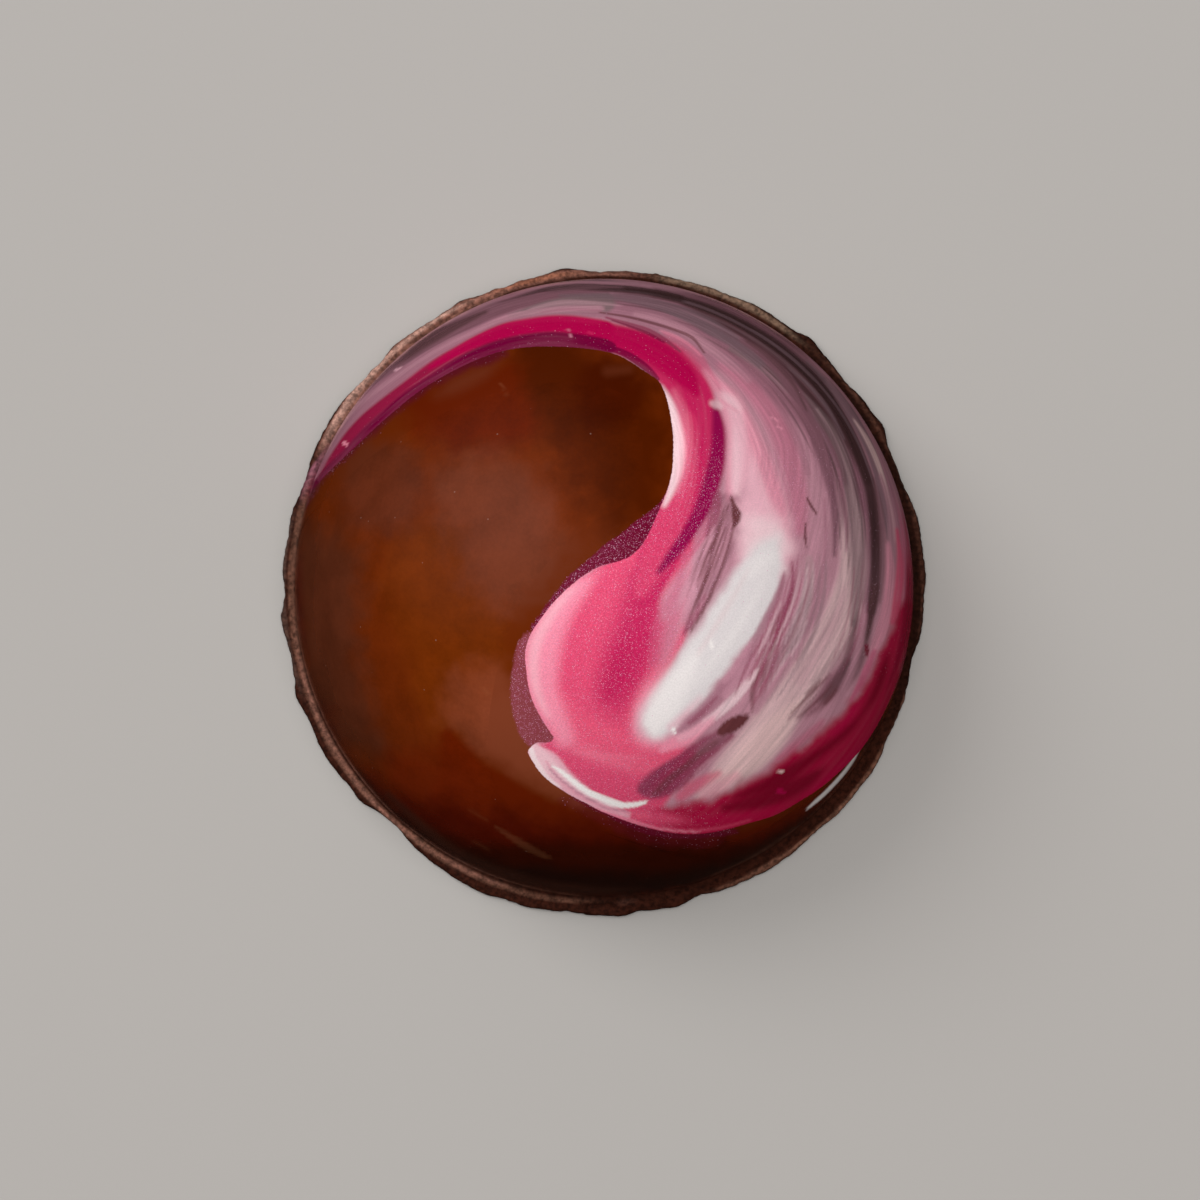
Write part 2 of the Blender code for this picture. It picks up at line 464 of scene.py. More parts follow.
def strip(line_a, line_b):
    """Triangles between two rows of point numbers that run the same way, with different counts."""
    faces, i, j = [], 0, 0
    while i < len(line_a) - 1 or j < len(line_b) - 1:
        next_a = (i + 1) / (len(line_a) - 1) if i < len(line_a) - 1 else 9.0
        next_b = (j + 1) / (len(line_b) - 1) if j < len(line_b) - 1 else 9.0
        if next_a <= next_b:
            faces.append((line_a[i], line_a[i + 1], line_b[j]))
            i += 1
        else:
            faces.append((line_a[i], line_b[j + 1], line_b[j]))
            j += 1
    return faces


def build_coat():
    """The coloured skin: a fine grid on top, closed by a coarse one a little way down in the chocolate."""
    plan, flow = coat_grid()
    n, m = COAT_ALONG, COAT_ACROSS
    row = np.minimum(np.arange(n), n - 1 - np.arange(n))
    column = np.minimum(np.arange(m), m - 1 - np.arange(m))
    from_edge = np.minimum(row[:, None], column[None, :])
    sink = np.where(from_edge == 0, COAT_EDGE_SINK, np.where(from_edge == 1, -0.4 * COAT_LIFT, -COAT_LIFT))
    top, normal = dome_point(plan[..., 0], plan[..., 1], sink)
    number = np.arange(n * m).reshape(n, m)
    a, b, c, d = number[:-1, :-1], number[1:, :-1], number[1:, 1:], number[:-1, 1:]
    quads = np.stack([a, b, c, d], -1).reshape(-1, 4)
    # Quads are cut along the diagonal that changes side from square to square.
    checker = (np.add.outer(np.arange(n - 1), np.arange(m - 1)) % 2).reshape(-1) == 0
    cut = np.where(checker[:, None, None],
                   np.stack([quads[:, [0, 1, 2]], quads[:, [0, 2, 3]]], 1),
                   np.stack([quads[:, [0, 1, 3]], quads[:, [1, 2, 3]]], 1))
    faces = cut.reshape(-1, 3)
    probe = top.reshape(-1, 3)[faces[len(faces) // 2]]
    outward = np.dot(np.cross(probe[1] - probe[0], probe[2] - probe[0]), normal.reshape(-1, 3)[faces[len(faces) // 2][0]]) > 0
    if not outward:
        faces = faces[:, ::-1]

    rows = np.unique(np.round(np.linspace(3, n - 4, 72)).astype(int))
    columns = np.unique(np.round(np.linspace(3, m - 4, 35)).astype(int))
    low_plan = plan[np.ix_(rows, columns)]
    low, low_normal = dome_point(low_plan[..., 0], low_plan[..., 1], COAT_DEPTH)
    base = n * m
    low_number = base + np.arange(len(rows) * len(columns)).reshape(len(rows), len(columns))
    under = []
    for i in range(len(rows) - 1):
        for j in range(len(columns) - 1):
            p, q, r, s = low_number[i, j], low_number[i + 1, j], low_number[i + 1, j + 1], low_number[i, j + 1]
            under += [(p, r, q), (p, s, r)]
    under += strip(list(number[:, 0]), list(low_number[:, 0]))
    under += strip(list(number[-1, :]), list(low_number[-1, :]))
    under += strip(list(number[::-1, -1]), list(low_number[::-1, -1]))
    under += strip(list(number[0, ::-1]), list(low_number[0, ::-1]))
    under = np.array(under)
    if not outward:
        under = under[:, ::-1]
    points = np.concatenate([top.reshape(-1, 3), low.reshape(-1, 3)])
    normals = np.concatenate([normal.reshape(-1, 3), -low_normal.reshape(-1, 3)])
    plan = np.concatenate([plan.reshape(-1, 2), low_plan.reshape(-1, 2)])
    flow = np.concatenate([flow.reshape(-1, 2), flow[np.ix_(rows, columns)].reshape(-1, 2)])
    return points, np.concatenate([faces, under]).tolist(), normals, plan, flow
# ------------------------------------------------------------------ the colouring: cocoa butter brushed into the mould
def linear(red, green, blue):
    """A colour on the usual 0 to 255 scale, as the linear values that shaders use."""
    c = np.array([red, green, blue], float) / 255.0
    return np.where(c <= 0.04045, c / 12.92, ((c + 0.055) / 1.055) ** 2.4)


PALETTE = {name: linear(*value) for name, value in {
    "white": (250, 244, 243),
    "milk": (228, 221, 223),
    "shell": (241, 208, 215),
    "pale": (235, 180, 195),
    "blush": (226, 148, 169),
    "pink": (240, 146, 170),
    "coral": (231, 88, 121),
    "rose": (221, 74, 112),
    "fuchsia": (198, 94, 126),
    "hot": (194, 32, 88),
    "magenta": (178, 0, 72),
    "berry": (142, 10, 72),
    "crimson": (176, 6, 60),
    "ruby": (190, 0, 70),
    "wine": (116, 0, 30),
    "cherry": (150, 6, 52),
    "raspberry": (150, 24, 66),
    "plum": (112, 2, 54),
    "mulberry": (142, 56, 84),
    "smoke": (148, 97, 112),
    "soot": (104, 54, 58),
    "dusk": (134, 90, 103),
    "heather": (167, 110, 128),
    "mauve": (170, 116, 134),
    "dimrose": (194, 118, 141),
    "lilac": (192, 138, 154),
    "orchid": (206, 148, 166),
    "ash": (174, 142, 147),
    "grey": (150, 120, 128),
    "pearl": (226, 188, 192),
    "peach": (242, 204, 203),
    "maroon": (94, 62, 66),
    "umber": (64, 42, 43),
    "slate": (124, 98, 107),
    "stone": (132, 106, 111),
    "tan": (168, 108, 72),
    "murk": (84, 6, 34),
    "bark": (60, 24, 22),
    "glaze": (106, 10, 46),
    "veil": (140, 64, 76),
}.items()}

# The outline of the opaque colour, from the tip on the left along its inner side, over the lip and
# back up along its lower side to the dome's widest ring; from there it follows that ring.
OUTLINE = [
    (-13.62, 3.19), (-13.47, 3.75), (-13.27, 4.24), (-12.83, 4.67), (-12.38, 5.10), (-11.95, 5.48), (-11.34, 6.00), (-10.74, 6.52), (-9.92, 7.26),
    (-9.24, 7.83), (-8.66, 8.31), (-7.86, 8.88), (-6.79, 9.49), (-5.69, 10.01), (-4.58, 10.39), (-3.48, 10.56), (-2.37, 10.59), (-1.27, 10.53),
    (-0.18, 10.39), (0.53, 10.21), (1.14, 9.89), (1.66, 9.53), (2.05, 9.27), (2.36, 9.04), (2.62, 8.55), (2.79, 7.97), (2.91, 7.31),
    (3.00, 6.43), (2.99, 5.77), (2.95, 5.11), (2.81, 4.46), (2.64, 3.98), (2.42, 3.46), (2.20, 2.94), (1.90, 2.29), (1.55, 1.73),
    (1.12, 1.34), (0.60, 1.12), (-0.17, 0.91), (-0.82, 0.56), (-1.38, 0.13), (-1.90, -0.35), (-2.33, -0.82), (-2.76, -1.38), (-3.11, -1.90),
    (-3.33, -2.38), (-3.42, -2.94), (-3.37, -3.55), (-3.29, -4.20), (-3.12, -4.85), (-2.86, -5.42), (-2.56, -5.94), (-2.30, -6.34), (-2.17, -6.51),
    (-2.30, -6.69), (-2.56, -6.73), (-2.91, -6.73), (-3.17, -6.91), (-3.31, -7.09), (-3.26, -7.31), (-3.09, -7.58), (-2.92, -7.88), (-2.66, -8.19),
    (-2.31, -8.50), (-1.92, -8.77), (-1.44, -9.08), (-0.83, -9.40), (-0.17, -9.76), (0.35, -9.98), (0.92, -10.21), (1.58, -10.44), (2.11, -10.59),
    (2.68, -10.73), (3.35, -10.83), (4.23, -10.85), (5.35, -10.69), (6.46, -10.40), (7.59, -10.08), (8.72, -9.47), (9.63, -8.92), (10.54, -8.18),
    (11.38, -7.39), (12.08, -6.46), (12.63, -5.48), (13.16, -4.42), (13.62, -3.17), (13.77, -2.17),
]

# Thin purple glaze with pearl flakes, over bare chocolate beside the opaque colour:
# (colour, strength, softness in mm, outline).
GLAZE = [
    ("murk", 0.75, 0.45, [(-13.52, 3.58), (-12.62, 4.74), (-11.33, 5.82), (-10.00, 6.99), (-8.75, 8.04), (-7.50, 8.86), (-5.99, 9.60), (-4.35, 10.21), (-4.37, 10.71),
                          (-7.71, 9.66), (-10.43, 7.93), (-12.78, 5.67), (-13.42, 3.95)]),
    ("glaze", 0.92, 0.06, [(2.77, 4.24), (2.42, 3.67), (1.77, 3.15), (1.34, 2.85), (0.69, 2.29), (0.04, 1.85), (-0.52, 1.34), (-1.03, 0.91),
                  (-1.55, 0.47), (-1.90, 0.00), (-2.33, -0.52), (-2.76, -1.17), (-3.20, -1.90), (-2.55, -2.25), (-0.17, -0.09), (1.98, 1.21), (2.94, 3.37)]),
    ("veil", 0.80, 0.07, [(-3.20, -1.90), (-3.63, -2.25), (-3.89, -3.11), (-4.03, -3.98), (-4.03, -4.86), (-3.91, -5.64), (-3.65, -6.39), (-3.22, -6.91),
                  (-2.56, -7.04), (-1.65, -6.82), (-1.91, -5.72), (-2.55, -4.85), (-2.77, -3.11), (-2.55, -2.03)]),
    ("glaze", 0.60, 0.10, [(-1.48, -9.13), (-0.83, -9.53), (0.04, -9.98), (1.58, -10.72), (2.69, -11.01), (4.24, -11.04), (6.03, -10.81), (4.22, -10.20),
                  (1.58, -9.81), (-0.61, -9.08)]),
    ("glaze", 0.22, 0.45, [(-1.92, -9.27), (-0.18, -10.26), (2.03, -11.33), (5.14, -11.25), (5.11, -10.22), (0.70, -9.26)]),
]

# The colouring, in the order it lies: (colour, strength, softness of its edge in mm, bristle share, places).
# Places with a third number are a brush stroke of that width; places with two are the outline of a field.
SWEEP = [
    # the stroke's middle and outer side: mauve and lilac
    ("mauve", 1.0, 0.6, 0.0, [(-5.96, 11.48), (-2.85, 12.84), (-0.18, 13.21), (4.28, 12.39), (8.26, 9.68), (10.91, 6.12), (12.23, 2.13),
                              (11.27, 1.23), (8.58, 4.73), (5.96, 8.24), (3.34, 10.46), (-0.18, 11.83), (-4.59, 10.72)]),
    ("lilac", 1.0, 0.7, 0.0, [(4.92, 9.48), (6.86, 8.62), (8.45, 7.17), (9.40, 5.18), (10.09, 2.98), (10.26, 0.35), (9.36, -2.71), (7.69, -5.33),
                              (5.94, -7.07), (3.76, -8.38), (2.44, -7.48), (4.16, -4.86), (5.90, -2.25), (6.77, -0.52), (7.48, 1.22), (6.11, 1.86),
                              (5.82, 3.82), (6.01, 6.01), (5.25, 8.22)]),
    ("dimrose", 0.90, 0.50, 0.10, [(5.19, 9.76, 0.36), (6.20, 8.97, 0.72), (7.11, 7.90, 0.91), (7.80, 6.57, 1.00), (8.22, 5.16, 1.00), (8.47, 3.62, 0.82), (8.55, 2.53, 0.54)]),
    ("blush", 0.95, 0.60, 0.08, [(5.52, 8.23, 0.36), (6.12, 7.12, 0.72), (6.63, 5.80, 1.00), (7.06, 4.49, 1.18), (7.40, 3.31, 1.18), (7.66, 2.31, 0.72)]),
    ("pale", 0.90, 0.60, 0.08, [(6.19, 6.02, 0.36), (6.53, 4.70, 0.63), (6.87, 3.39, 0.82), (7.13, 2.52, 0.91), (7.21, 1.87, 0.63)]),
    ("shell", 0.60, 0.45, 0.08, [(6.51, 2.95, 0.36), (6.95, 2.35, 0.63), (7.30, 1.87, 0.45)]),

    # the blob: rose, with a paler rim and a hot middle
    ("rose", 1.0, 0.30, 0.0, [(4.16, 5.12), (2.85, 3.59), (1.55, 1.81), (-0.17, 0.95), (-1.68, -0.09), (-2.85, -1.38), (-3.46, -2.94), (-3.21, -4.85),
                              (-2.34, -6.51), (-3.44, -7.14), (-2.44, -8.60), (-0.18, -9.80), (2.02, -10.26), (2.80, -9.27), (3.74, -7.14), (1.56, -6.68),
                              (1.39, -5.50), (2.42, -4.20), (3.46, -2.25), (3.71, -0.09), (3.89, 2.07)]),
    ("coral", 0.75, 0.8, 0.0, [(-2.08, -4.85, 0.91), (-1.26, -6.07, 1.54), (0.26, -6.95, 1.81), (2.22, -7.39, 1.36), (3.74, -7.05, 0.45)]),
    ("hot", 0.85, 1.4, 0.0, [(1.55, 0.13, 1.09), (1.38, -1.60, 1.81), (0.95, -3.20, 1.99), (0.26, -4.58, 1.18), (-0.26, -5.37, 0.27)]),
    ("hot", 0.45, 0.9, 0.0, [(2.42, 1.21, 0.91), (1.90, -0.52, 1.36), (1.47, -2.24, 1.54), (0.86, -4.41, 1.18), (0.52, -5.54, 0.45)]),
    ("magenta", 0.30, 1.2, 0.0, [(0.91, -2.24, 0.45), (0.35, -3.80, 1.18), (-0.17, -4.84, 0.45)]),
    ("hot", 0.35, 0.6, 0.0, [(2.24, -0.52, 0.63), (1.90, -1.81, 0.82), (1.73, -2.89, 0.54)]),
    ("pink", 0.85, 0.85, 0.0, [(-0.17, 0.69, 0.18), (-1.03, 0.00, 0.72), (-1.90, -1.04, 1.13), (-2.50, -2.25, 1.40),
                                (-2.72, -3.46, 1.45), (-2.64, -4.59, 1.27), (-2.21, -5.55, 1.09), (-1.74, -6.42, 0.82)]),
    ("shell", 0.34, 0.45, 0.0, [(-1.12, 0.17, 0.18), (-1.90, -0.60, 0.41), (-2.55, -1.55, 0.50), (-2.98, -2.46, 0.54), (-3.07, -3.46, 0.50), (-2.86, -4.63, 0.36), (-2.43, -5.55, 0.23)]),
    ("pink", 0.20, 0.7, 0.0, [(-1.91, -6.69, 0.54), (-0.83, -7.12, 0.63), (0.70, -7.74, 0.54), (2.00, -7.92, 0.36)]),
    ("rose", 0.7, 0.7, 0.0, [(-1.91, -7.48, 0.63), (-0.61, -8.14, 1.00), (0.92, -8.59, 1.18), (2.01, -8.82, 0.72)]),
    ("pink", 0.18, 0.3, 0.0, [(-1.26, -7.17, 0.18), (-0.17, -7.30, 0.23), (1.56, -7.39, 0.18)]),

    # the magenta band: from the left over the back, then down to the blob
    ("hot", 1.0, 0.30, 0.1, [(-0.35, 11.13, 1.18), (1.14, 10.72, 1.36), (2.24, 10.27, 1.63), (3.07, 9.64, 1.90), (3.63, 8.88, 1.99), (3.93, 7.98, 1.90),
                             (4.00, 6.87, 1.81), (3.91, 5.77, 1.72), (3.73, 4.68, 1.72), (3.29, 3.37, 1.90), (2.50, 1.64, 1.81), (1.77, -0.09, 1.36)]),
    ("rose", 0.60, 0.6, 0.1, [(3.66, 7.31, 0.45), (3.56, 5.99, 0.82), (3.38, 4.68, 1.09), (2.94, 3.16, 1.27), (2.16, 1.21, 1.36), (1.55, -0.09, 0.72)]),
    ("magenta", 1.0, 0.35, 0.1, [(-0.88, 11.23, 1.09), (0.26, 11.08, 1.18), (1.36, 10.72, 1.27), (2.37, 10.22, 1.27), (3.15, 9.64, 1.18), (3.68, 9.10, 0.91), (4.02, 8.52, 0.36)]),
    ("fuchsia", 0.70, 0.20, 0.3, [(2.64, 11.20, 0.18), (3.43, 10.70, 0.41), (4.13, 10.02, 0.54), (4.56, 9.30, 0.41), (4.82, 8.67, 0.18)]),
    ("berry", 1.0, 0.30, 0.0, [(4.81, 8.04, 0.23), (5.01, 6.97, 0.63), (4.96, 5.78, 0.72), (4.68, 4.60, 0.77), (4.29, 3.46, 0.72), (3.67, 2.38, 0.59), (2.89, 1.34, 0.45), (2.37, 0.69, 0.23)]),
    ("shell", 0.95, 0.30, 0.0, [(2.53, 8.73, 0.14), (2.83, 8.11, 0.32), (3.05, 7.31, 0.50), (3.17, 6.21, 0.68), (3.12, 5.11, 0.59), (2.90, 4.24, 0.36), (2.59, 3.54, 0.18)]),
    ("pink", 0.40, 0.40, 0.1, [(3.06, 8.56, 0.23), (3.40, 7.53, 0.45), (3.56, 6.21, 0.50), (3.42, 5.11, 0.45), (3.20, 4.24, 0.27)]),
    ("plum", 0.90, 0.10, 0.1, [(-0.18, 10.58, 0.23), (0.79, 10.30, 0.32), (1.58, 9.81, 0.36), (2.10, 9.36, 0.27), (2.36, 9.09, 0.14)]),

    # pale pink beside the band
    ("blush", 0.95, 0.40, 0.1, [(4.47, 9.48, 0.23), (4.99, 8.85, 0.54), (5.51, 8.14, 1.00), (5.85, 6.98, 1.09), (5.83, 5.66, 1.00), (5.65, 4.60, 0.72), (5.47, 3.91, 0.36)]),
    ("pale", 0.95, 0.45, 0.05, [(5.17, 8.58, 0.23), (5.60, 7.96, 0.59), (5.85, 6.90, 0.68), (5.83, 5.66, 0.68), (5.74, 4.69, 0.54), (5.64, 4.08, 0.27)]),
    ("shell", 0.45, 0.45, 0.0, [(5.72, 6.89, 0.18), (5.79, 5.79, 0.36), (5.78, 4.78, 0.41), (5.77, 3.99, 0.27)]),
    ("pale", 0.60, 0.70, 0.0, [(6.02, 6.46, 0.36), (6.18, 5.14, 0.63), (6.39, 4.04, 0.91), (6.65, 3.13, 1.00), (6.86, 2.43, 0.72)]),
    ("shell", 0.35, 0.50, 0.0, [(5.16, 8.31, 0.27), (5.60, 8.19, 0.45), (5.86, 7.88, 0.36)]),
    ("shell", 0.50, 0.22, 0.0, [(4.72, 8.04, 0.27), (4.89, 8.00, 0.41), (5.07, 7.91, 0.27)]),
    ("blush", 0.50, 0.14, 0.0, [(5.07, 8.22, 0.09), (5.42, 7.96, 0.14), (5.82, 7.70, 0.14)]),

    # the smoky patch where the brush lifted
    ("smoke", 0.85, 0.36, 0.35, [(4.81, 3.90), (4.72, 2.94), (4.59, 2.08), (4.41, 1.43), (4.24, 0.78), (4.06, 0.13), (3.71, -0.52), (3.46, -1.21), (3.46, -1.73),
                                (3.80, -1.82), (4.15, -1.30), (4.41, -0.78), (4.67, -0.26), (5.02, 0.26), (5.37, 0.78), (5.63, 1.43), (5.81, 2.08), (5.99, 2.86), (5.95, 3.65), (5.47, 4.04)]),
    ("orchid", 0.90, 0.45, 0.20, [(4.41, 2.42, 0.14), (4.15, 1.64, 0.27), (3.80, 0.95, 0.54), (3.37, 0.17, 0.91), (2.85, -0.69, 0.91), (2.59, -1.29, 0.36)]),
    ("orchid", 0.80, 0.60, 0.15, [(4.15, 0.69, 0.27), (3.67, -0.17, 0.72), (3.24, -1.12, 0.91), (2.89, -2.07, 0.72), (2.64, -2.94, 0.45), (2.42, -3.63, 0.23)]),
    ("fuchsia", 0.55, 0.40, 0.20, [(3.46, 1.38, 0.27), (3.11, -0.09, 0.36), (2.68, -1.38, 1.00), (2.42, -2.50, 0.91), (2.07, -3.28, 0.45)]),
    ("fuchsia", 0.70, 0.20, 0.30, [(4.50, 2.94, 0.18), (4.24, 2.29, 0.36), (3.85, 1.69, 0.36), (3.46, 1.21, 0.23)]),
    ("mulberry", 0.75, 0.22, 0.1, [(4.94, 4.08, 0.23), (4.85, 3.47, 0.45), (4.68, 2.86, 0.41), (4.46, 2.25, 0.18)]),
    ("mulberry", 0.80, 0.16, 0.2, [(4.32, -0.35, 0.18), (4.06, -0.95, 0.27), (3.76, -1.47, 0.27), (3.46, -1.99, 0.14)]),
    ("lilac", 0.70, 0.25, 0.30, [(5.99, 2.78, 0.14), (5.81, 2.08, 0.32), (5.50, 1.34, 0.36), (5.11, 0.61, 0.23)]),
    ("soot", 0.95, 0.12, 0.0, [(5.51, 3.86, 0.09), (5.64, 3.56, 0.23), (5.73, 3.21, 0.45), (5.72, 2.91, 0.36), (5.59, 2.64, 0.14)]),
    ("lilac", 0.90, 0.10, 0.0, [(5.77, 3.86, 0.18), (5.82, 3.60, 0.27), (5.90, 3.38, 0.14)]),

    # the white smear
    ("pink", 0.80, 0.7, 0.0, [(2.25, -3.63, 0.27), (1.77, -4.50, 0.41), (1.39, -5.46, 0.36), (1.43, -6.38, 0.41), (2.08, -6.77, 0.45), (3.22, -6.60, 0.27)]),
    ("pale", 0.70, 0.55, 0.0, [(2.77, -3.63, 0.23), (2.08, -4.59, 0.41), (1.60, -5.46, 0.45), (1.65, -6.20, 0.45), (2.21, -6.51, 0.41), (3.13, -6.34, 0.27)]),
    ("pale", 0.85, 0.9, 0.0, [(6.12, 3.82), (7.01, 3.83), (7.75, 3.18), (8.19, 2.31), (8.10, 1.22), (7.21, 0.56), (6.11, 0.78), (5.76, 1.86)]),
    ("shell", 0.85, 0.9, 0.0, [(6.25, 2.95), (7.13, 3.04), (7.84, 2.44), (8.01, 1.57), (7.74, 0.57), (6.55, 0.35), (5.98, 1.21)]),
    ("milk", 0.95, 0.8, 0.0, [(7.48, 2.09, 0.45), (7.12, 1.65, 1.00), (6.77, 1.22, 1.09), (6.33, 0.69, 0.63)]),
    ("milk", 0.70, 0.8, 0.0, [(6.16, 0.95, 0.36), (5.37, -0.26, 0.54), (4.41, -1.82, 0.63), (3.37, -3.29, 0.63), (2.51, -4.50, 0.54), (1.91, -5.46, 0.36)]),
    ("milk", 1.0, 0.50, 0.0, [(7.79, 1.13), (7.57, 1.65), (6.95, 1.74), (6.24, 1.21), (5.54, 0.52), (5.11, -0.26), (4.63, -0.99), (4.15, -1.82), (3.46, -2.85),
                              (2.77, -3.98), (2.08, -4.93), (1.69, -5.63), (1.73, -6.20), (2.21, -6.47), (2.73, -6.34), (3.34, -5.81), (3.82, -5.34),
                              (4.29, -4.86), (4.73, -4.34), (5.16, -3.77), (5.59, -3.21), (5.99, -2.73), (6.42, -2.26), (6.73, -1.74), (7.04, -1.17), (7.30, -0.65), (7.56, -0.09), (7.74, 0.52)]),
    ("white", 0.30, 0.60, 0.0, [(7.39, 1.39, 0.36), (6.86, 1.13, 0.72), (6.33, 0.52, 0.36)]),
    ("white", 0.60, 0.70, 0.0, [(4.15, -2.68, 0.27), (3.29, -4.07, 1.00), (2.60, -5.11, 1.27), (2.21, -5.81, 1.00), (2.26, -6.29, 0.36)]),
    ("white", 0.40, 0.5, 0.0, [(7.12, 0.69, 0.14), (6.51, -0.52, 0.27), (5.72, -1.82, 0.32), (4.76, -3.12, 0.32), (3.98, -4.16, 0.27)]),
    ("pearl", 0.25, 0.30, 0.2, [(6.24, 0.78, 0.14), (5.63, -0.35, 0.23), (4.85, -1.64, 0.27), (4.07, -2.86, 0.18)]),
    # a painted glint: a tiny white tick on the smear
    ("white", 0.9, 0.08, 0.0, [(4.59, -2.34, 0.14), (4.67, -2.60, 0.15)]),
    ("pale", 0.70, 0.40, 0.3, [(4.16, -4.77, 0.18), (3.56, -5.46, 0.32), (2.95, -6.07, 0.41)]),

    # right of the smear: fine dark lines, lilac and pale pink
    ("heather", 0.85, 0.16, 0.2, [(7.83, 0.61, 0.14), (7.61, -0.09, 0.23), (7.30, -0.78, 0.27), (6.99, -1.43, 0.32), (6.60, -2.13, 0.32), (6.21, -2.78, 0.32), (5.81, -3.30, 0.27)]),
    ("mauve", 0.85, 0.25, 0.2, [(6.34, -2.95, 0.36), (5.73, -3.73, 0.45), (5.21, -4.34, 0.50), (4.69, -4.95, 0.59), (4.17, -5.47, 0.59), (3.65, -5.95, 0.50), (3.21, -6.30, 0.23)]),
    ("mulberry", 0.60, 0.12, 0.3, [(4.86, -4.77, 0.09), (4.51, -5.16, 0.18), (4.08, -5.56, 0.23), (3.65, -5.90, 0.14)]),
    ("orchid", 0.90, 0.22, 0.3, [(7.13, -2.26, 0.23), (6.78, -2.87, 0.41), (6.25, -3.47, 0.50), (5.77, -4.08, 0.50), (5.30, -4.65, 0.36)]),
    ("mulberry", 0.85, 0.14, 0.1, [(8.19, 1.13, 0.09), (8.19, 0.17, 0.14), (8.01, -0.61, 0.23), (7.74, -1.26, 0.27), (7.44, -2.00, 0.29), (7.17, -2.61, 0.27), (6.87, -3.30, 0.18), (6.61, -3.83, 0.14)]),
    ("soot", 0.60, 0.14, 0.0, [(7.48, -2.26, 0.14), (7.13, -2.87, 0.23), (6.83, -3.43, 0.23), (6.57, -3.96, 0.23), (6.44, -4.44, 0.23), (6.44, -4.96, 0.18), (6.45, -5.49, 0.09)]),
    ("orchid", 0.85, 0.25, 0.1, [(7.30, -2.09, 0.14), (6.95, -2.91, 0.32), (6.61, -3.56, 0.32), (6.26, -4.09, 0.18)]),
    ("orchid", 0.80, 0.25, 0.1, [(6.42, -2.26, 0.14), (6.03, -2.95, 0.32), (5.64, -3.56, 0.32), (5.21, -4.08, 0.18)]),
    ("shell", 0.95, 0.14, 0.2, [(6.65, -3.56, 0.14), (6.35, -4.00, 0.27), (6.00, -4.43, 0.36), (5.56, -4.91, 0.41), (4.95, -5.47, 0.36), (4.39, -5.87, 0.32)]),
    ("pink", 0.95, 0.22, 0.1, [(4.69, -5.74, 0.23), (4.17, -6.13, 0.41), (3.65, -6.52, 0.54), (3.04, -6.78, 0.54), (2.52, -7.04, 0.32)]),
    ("pale", 0.60, 0.22, 0.1, [(4.95, -5.47, 0.23), (4.43, -5.87, 0.36), (3.91, -6.26, 0.41), (3.30, -6.52, 0.36)]),

    # the broad pearly band
    ("orchid", 0.50, 0.50, 0.2, [(10.21, 4.75, 0.27), (10.42, 3.65, 0.54), (10.64, 2.55, 0.63)]),
    ("ash", 0.60, 0.50, 0.3, [(10.05, 5.55, 0.18), (10.34, 4.31, 0.36), (10.55, 3.17, 0.63), (10.73, 2.11, 0.91), (10.76, 1.23, 0.82)]),
    ("pearl", 1.0, 0.45, 0.15, [(10.50, 2.99, 0.18), (10.68, 1.89, 0.54), (10.81, 0.79, 1.00), (10.62, -0.53, 1.45), (10.17, -1.67, 1.54), (9.45, -2.80, 1.54), (8.70, -4.02, 1.54), (7.95, -5.16, 1.72),
                                (7.17, -6.25, 1.90), (6.30, -7.26, 1.90), (5.42, -8.09, 1.45), (4.73, -8.71, 0.82), (4.12, -9.15, 0.27)]),
    ("peach", 0.65, 0.45, 0.05, [(8.58, -4.90, 0.27), (7.87, -5.77, 0.91), (7.17, -6.56, 1.27), (6.39, -7.35, 1.27), (5.69, -7.96, 0.82), (5.16, -8.40, 0.36)]),
    ("orchid", 0.30, 0.40, 0.2, [(10.62, -0.09, 0.27), (10.08, -1.49, 0.45), (9.36, -2.71, 0.54), (8.57, -4.02, 0.54)]),
    ("pink", 0.45, 0.40, 0.1, [(5.78, -8.23, 0.36), (5.08, -8.67, 0.54), (4.38, -9.07, 0.45)]),
    ("lilac", 0.90, 0.30, 0.4, [(8.81, 1.75, 0.54), (8.85, 0.35, 0.82), (8.63, -0.96, 0.91), (8.19, -2.27, 0.91), (7.58, -3.48, 0.82), (7.01, -4.62, 0.54), (6.62, -5.40, 0.27)]),
    ("ash", 0.70, 0.20, 0.4, [(8.95, 1.22, 0.36), (8.90, -0.09, 0.54), (8.63, -1.31, 0.54), (8.24, -2.35, 0.45), (7.75, -3.22, 0.27)]),
    ("heather", 0.60, 0.12, 0.5, [(9.65, 3.86, 0.14), (9.67, 1.66, 0.14), (9.35, -0.09, 0.14), (8.90, -1.83, 0.18), (8.38, -3.14, 0.14)]),
    ("ash", 0.60, 0.20, 0.3, [(11.18, 1.23, 0.23), (11.13, -0.53, 0.27), (10.95, -1.76, 0.36), (10.64, -2.55, 0.41), (10.10, -3.25, 0.45), (9.56, -3.77, 0.36), (9.15, -4.12, 0.23)]),
    ("pearl", 0.55, 0.30, 0.2, [(11.00, 1.23, 0.23), (10.90, 0.13, 0.45), (10.76, -1.05, 0.50), (10.49, -2.06, 0.32)]),
    ("maroon", 0.80, 0.26, 0.2, [(11.18, -0.35, 0.09), (11.09, -1.32, 0.18), (10.87, -2.46, 0.32), (10.65, -3.26, 0.41), (10.29, -3.91, 0.45), (9.89, -4.48, 0.36), (9.49, -5.01, 0.18)]),
    ("smoke", 0.80, 0.35, 0.5, [(10.47, -3.70, 0.45), (10.02, -4.31, 0.82), (9.57, -4.88, 0.82), (9.04, -5.35, 0.54), (8.50, -5.70, 0.27)]),
    ("umber", 0.50, 0.30, 0.5, [(10.74, -3.26, 0.23), (10.43, -3.87, 0.41), (10.07, -4.40, 0.54), (9.71, -4.83, 0.32)]),
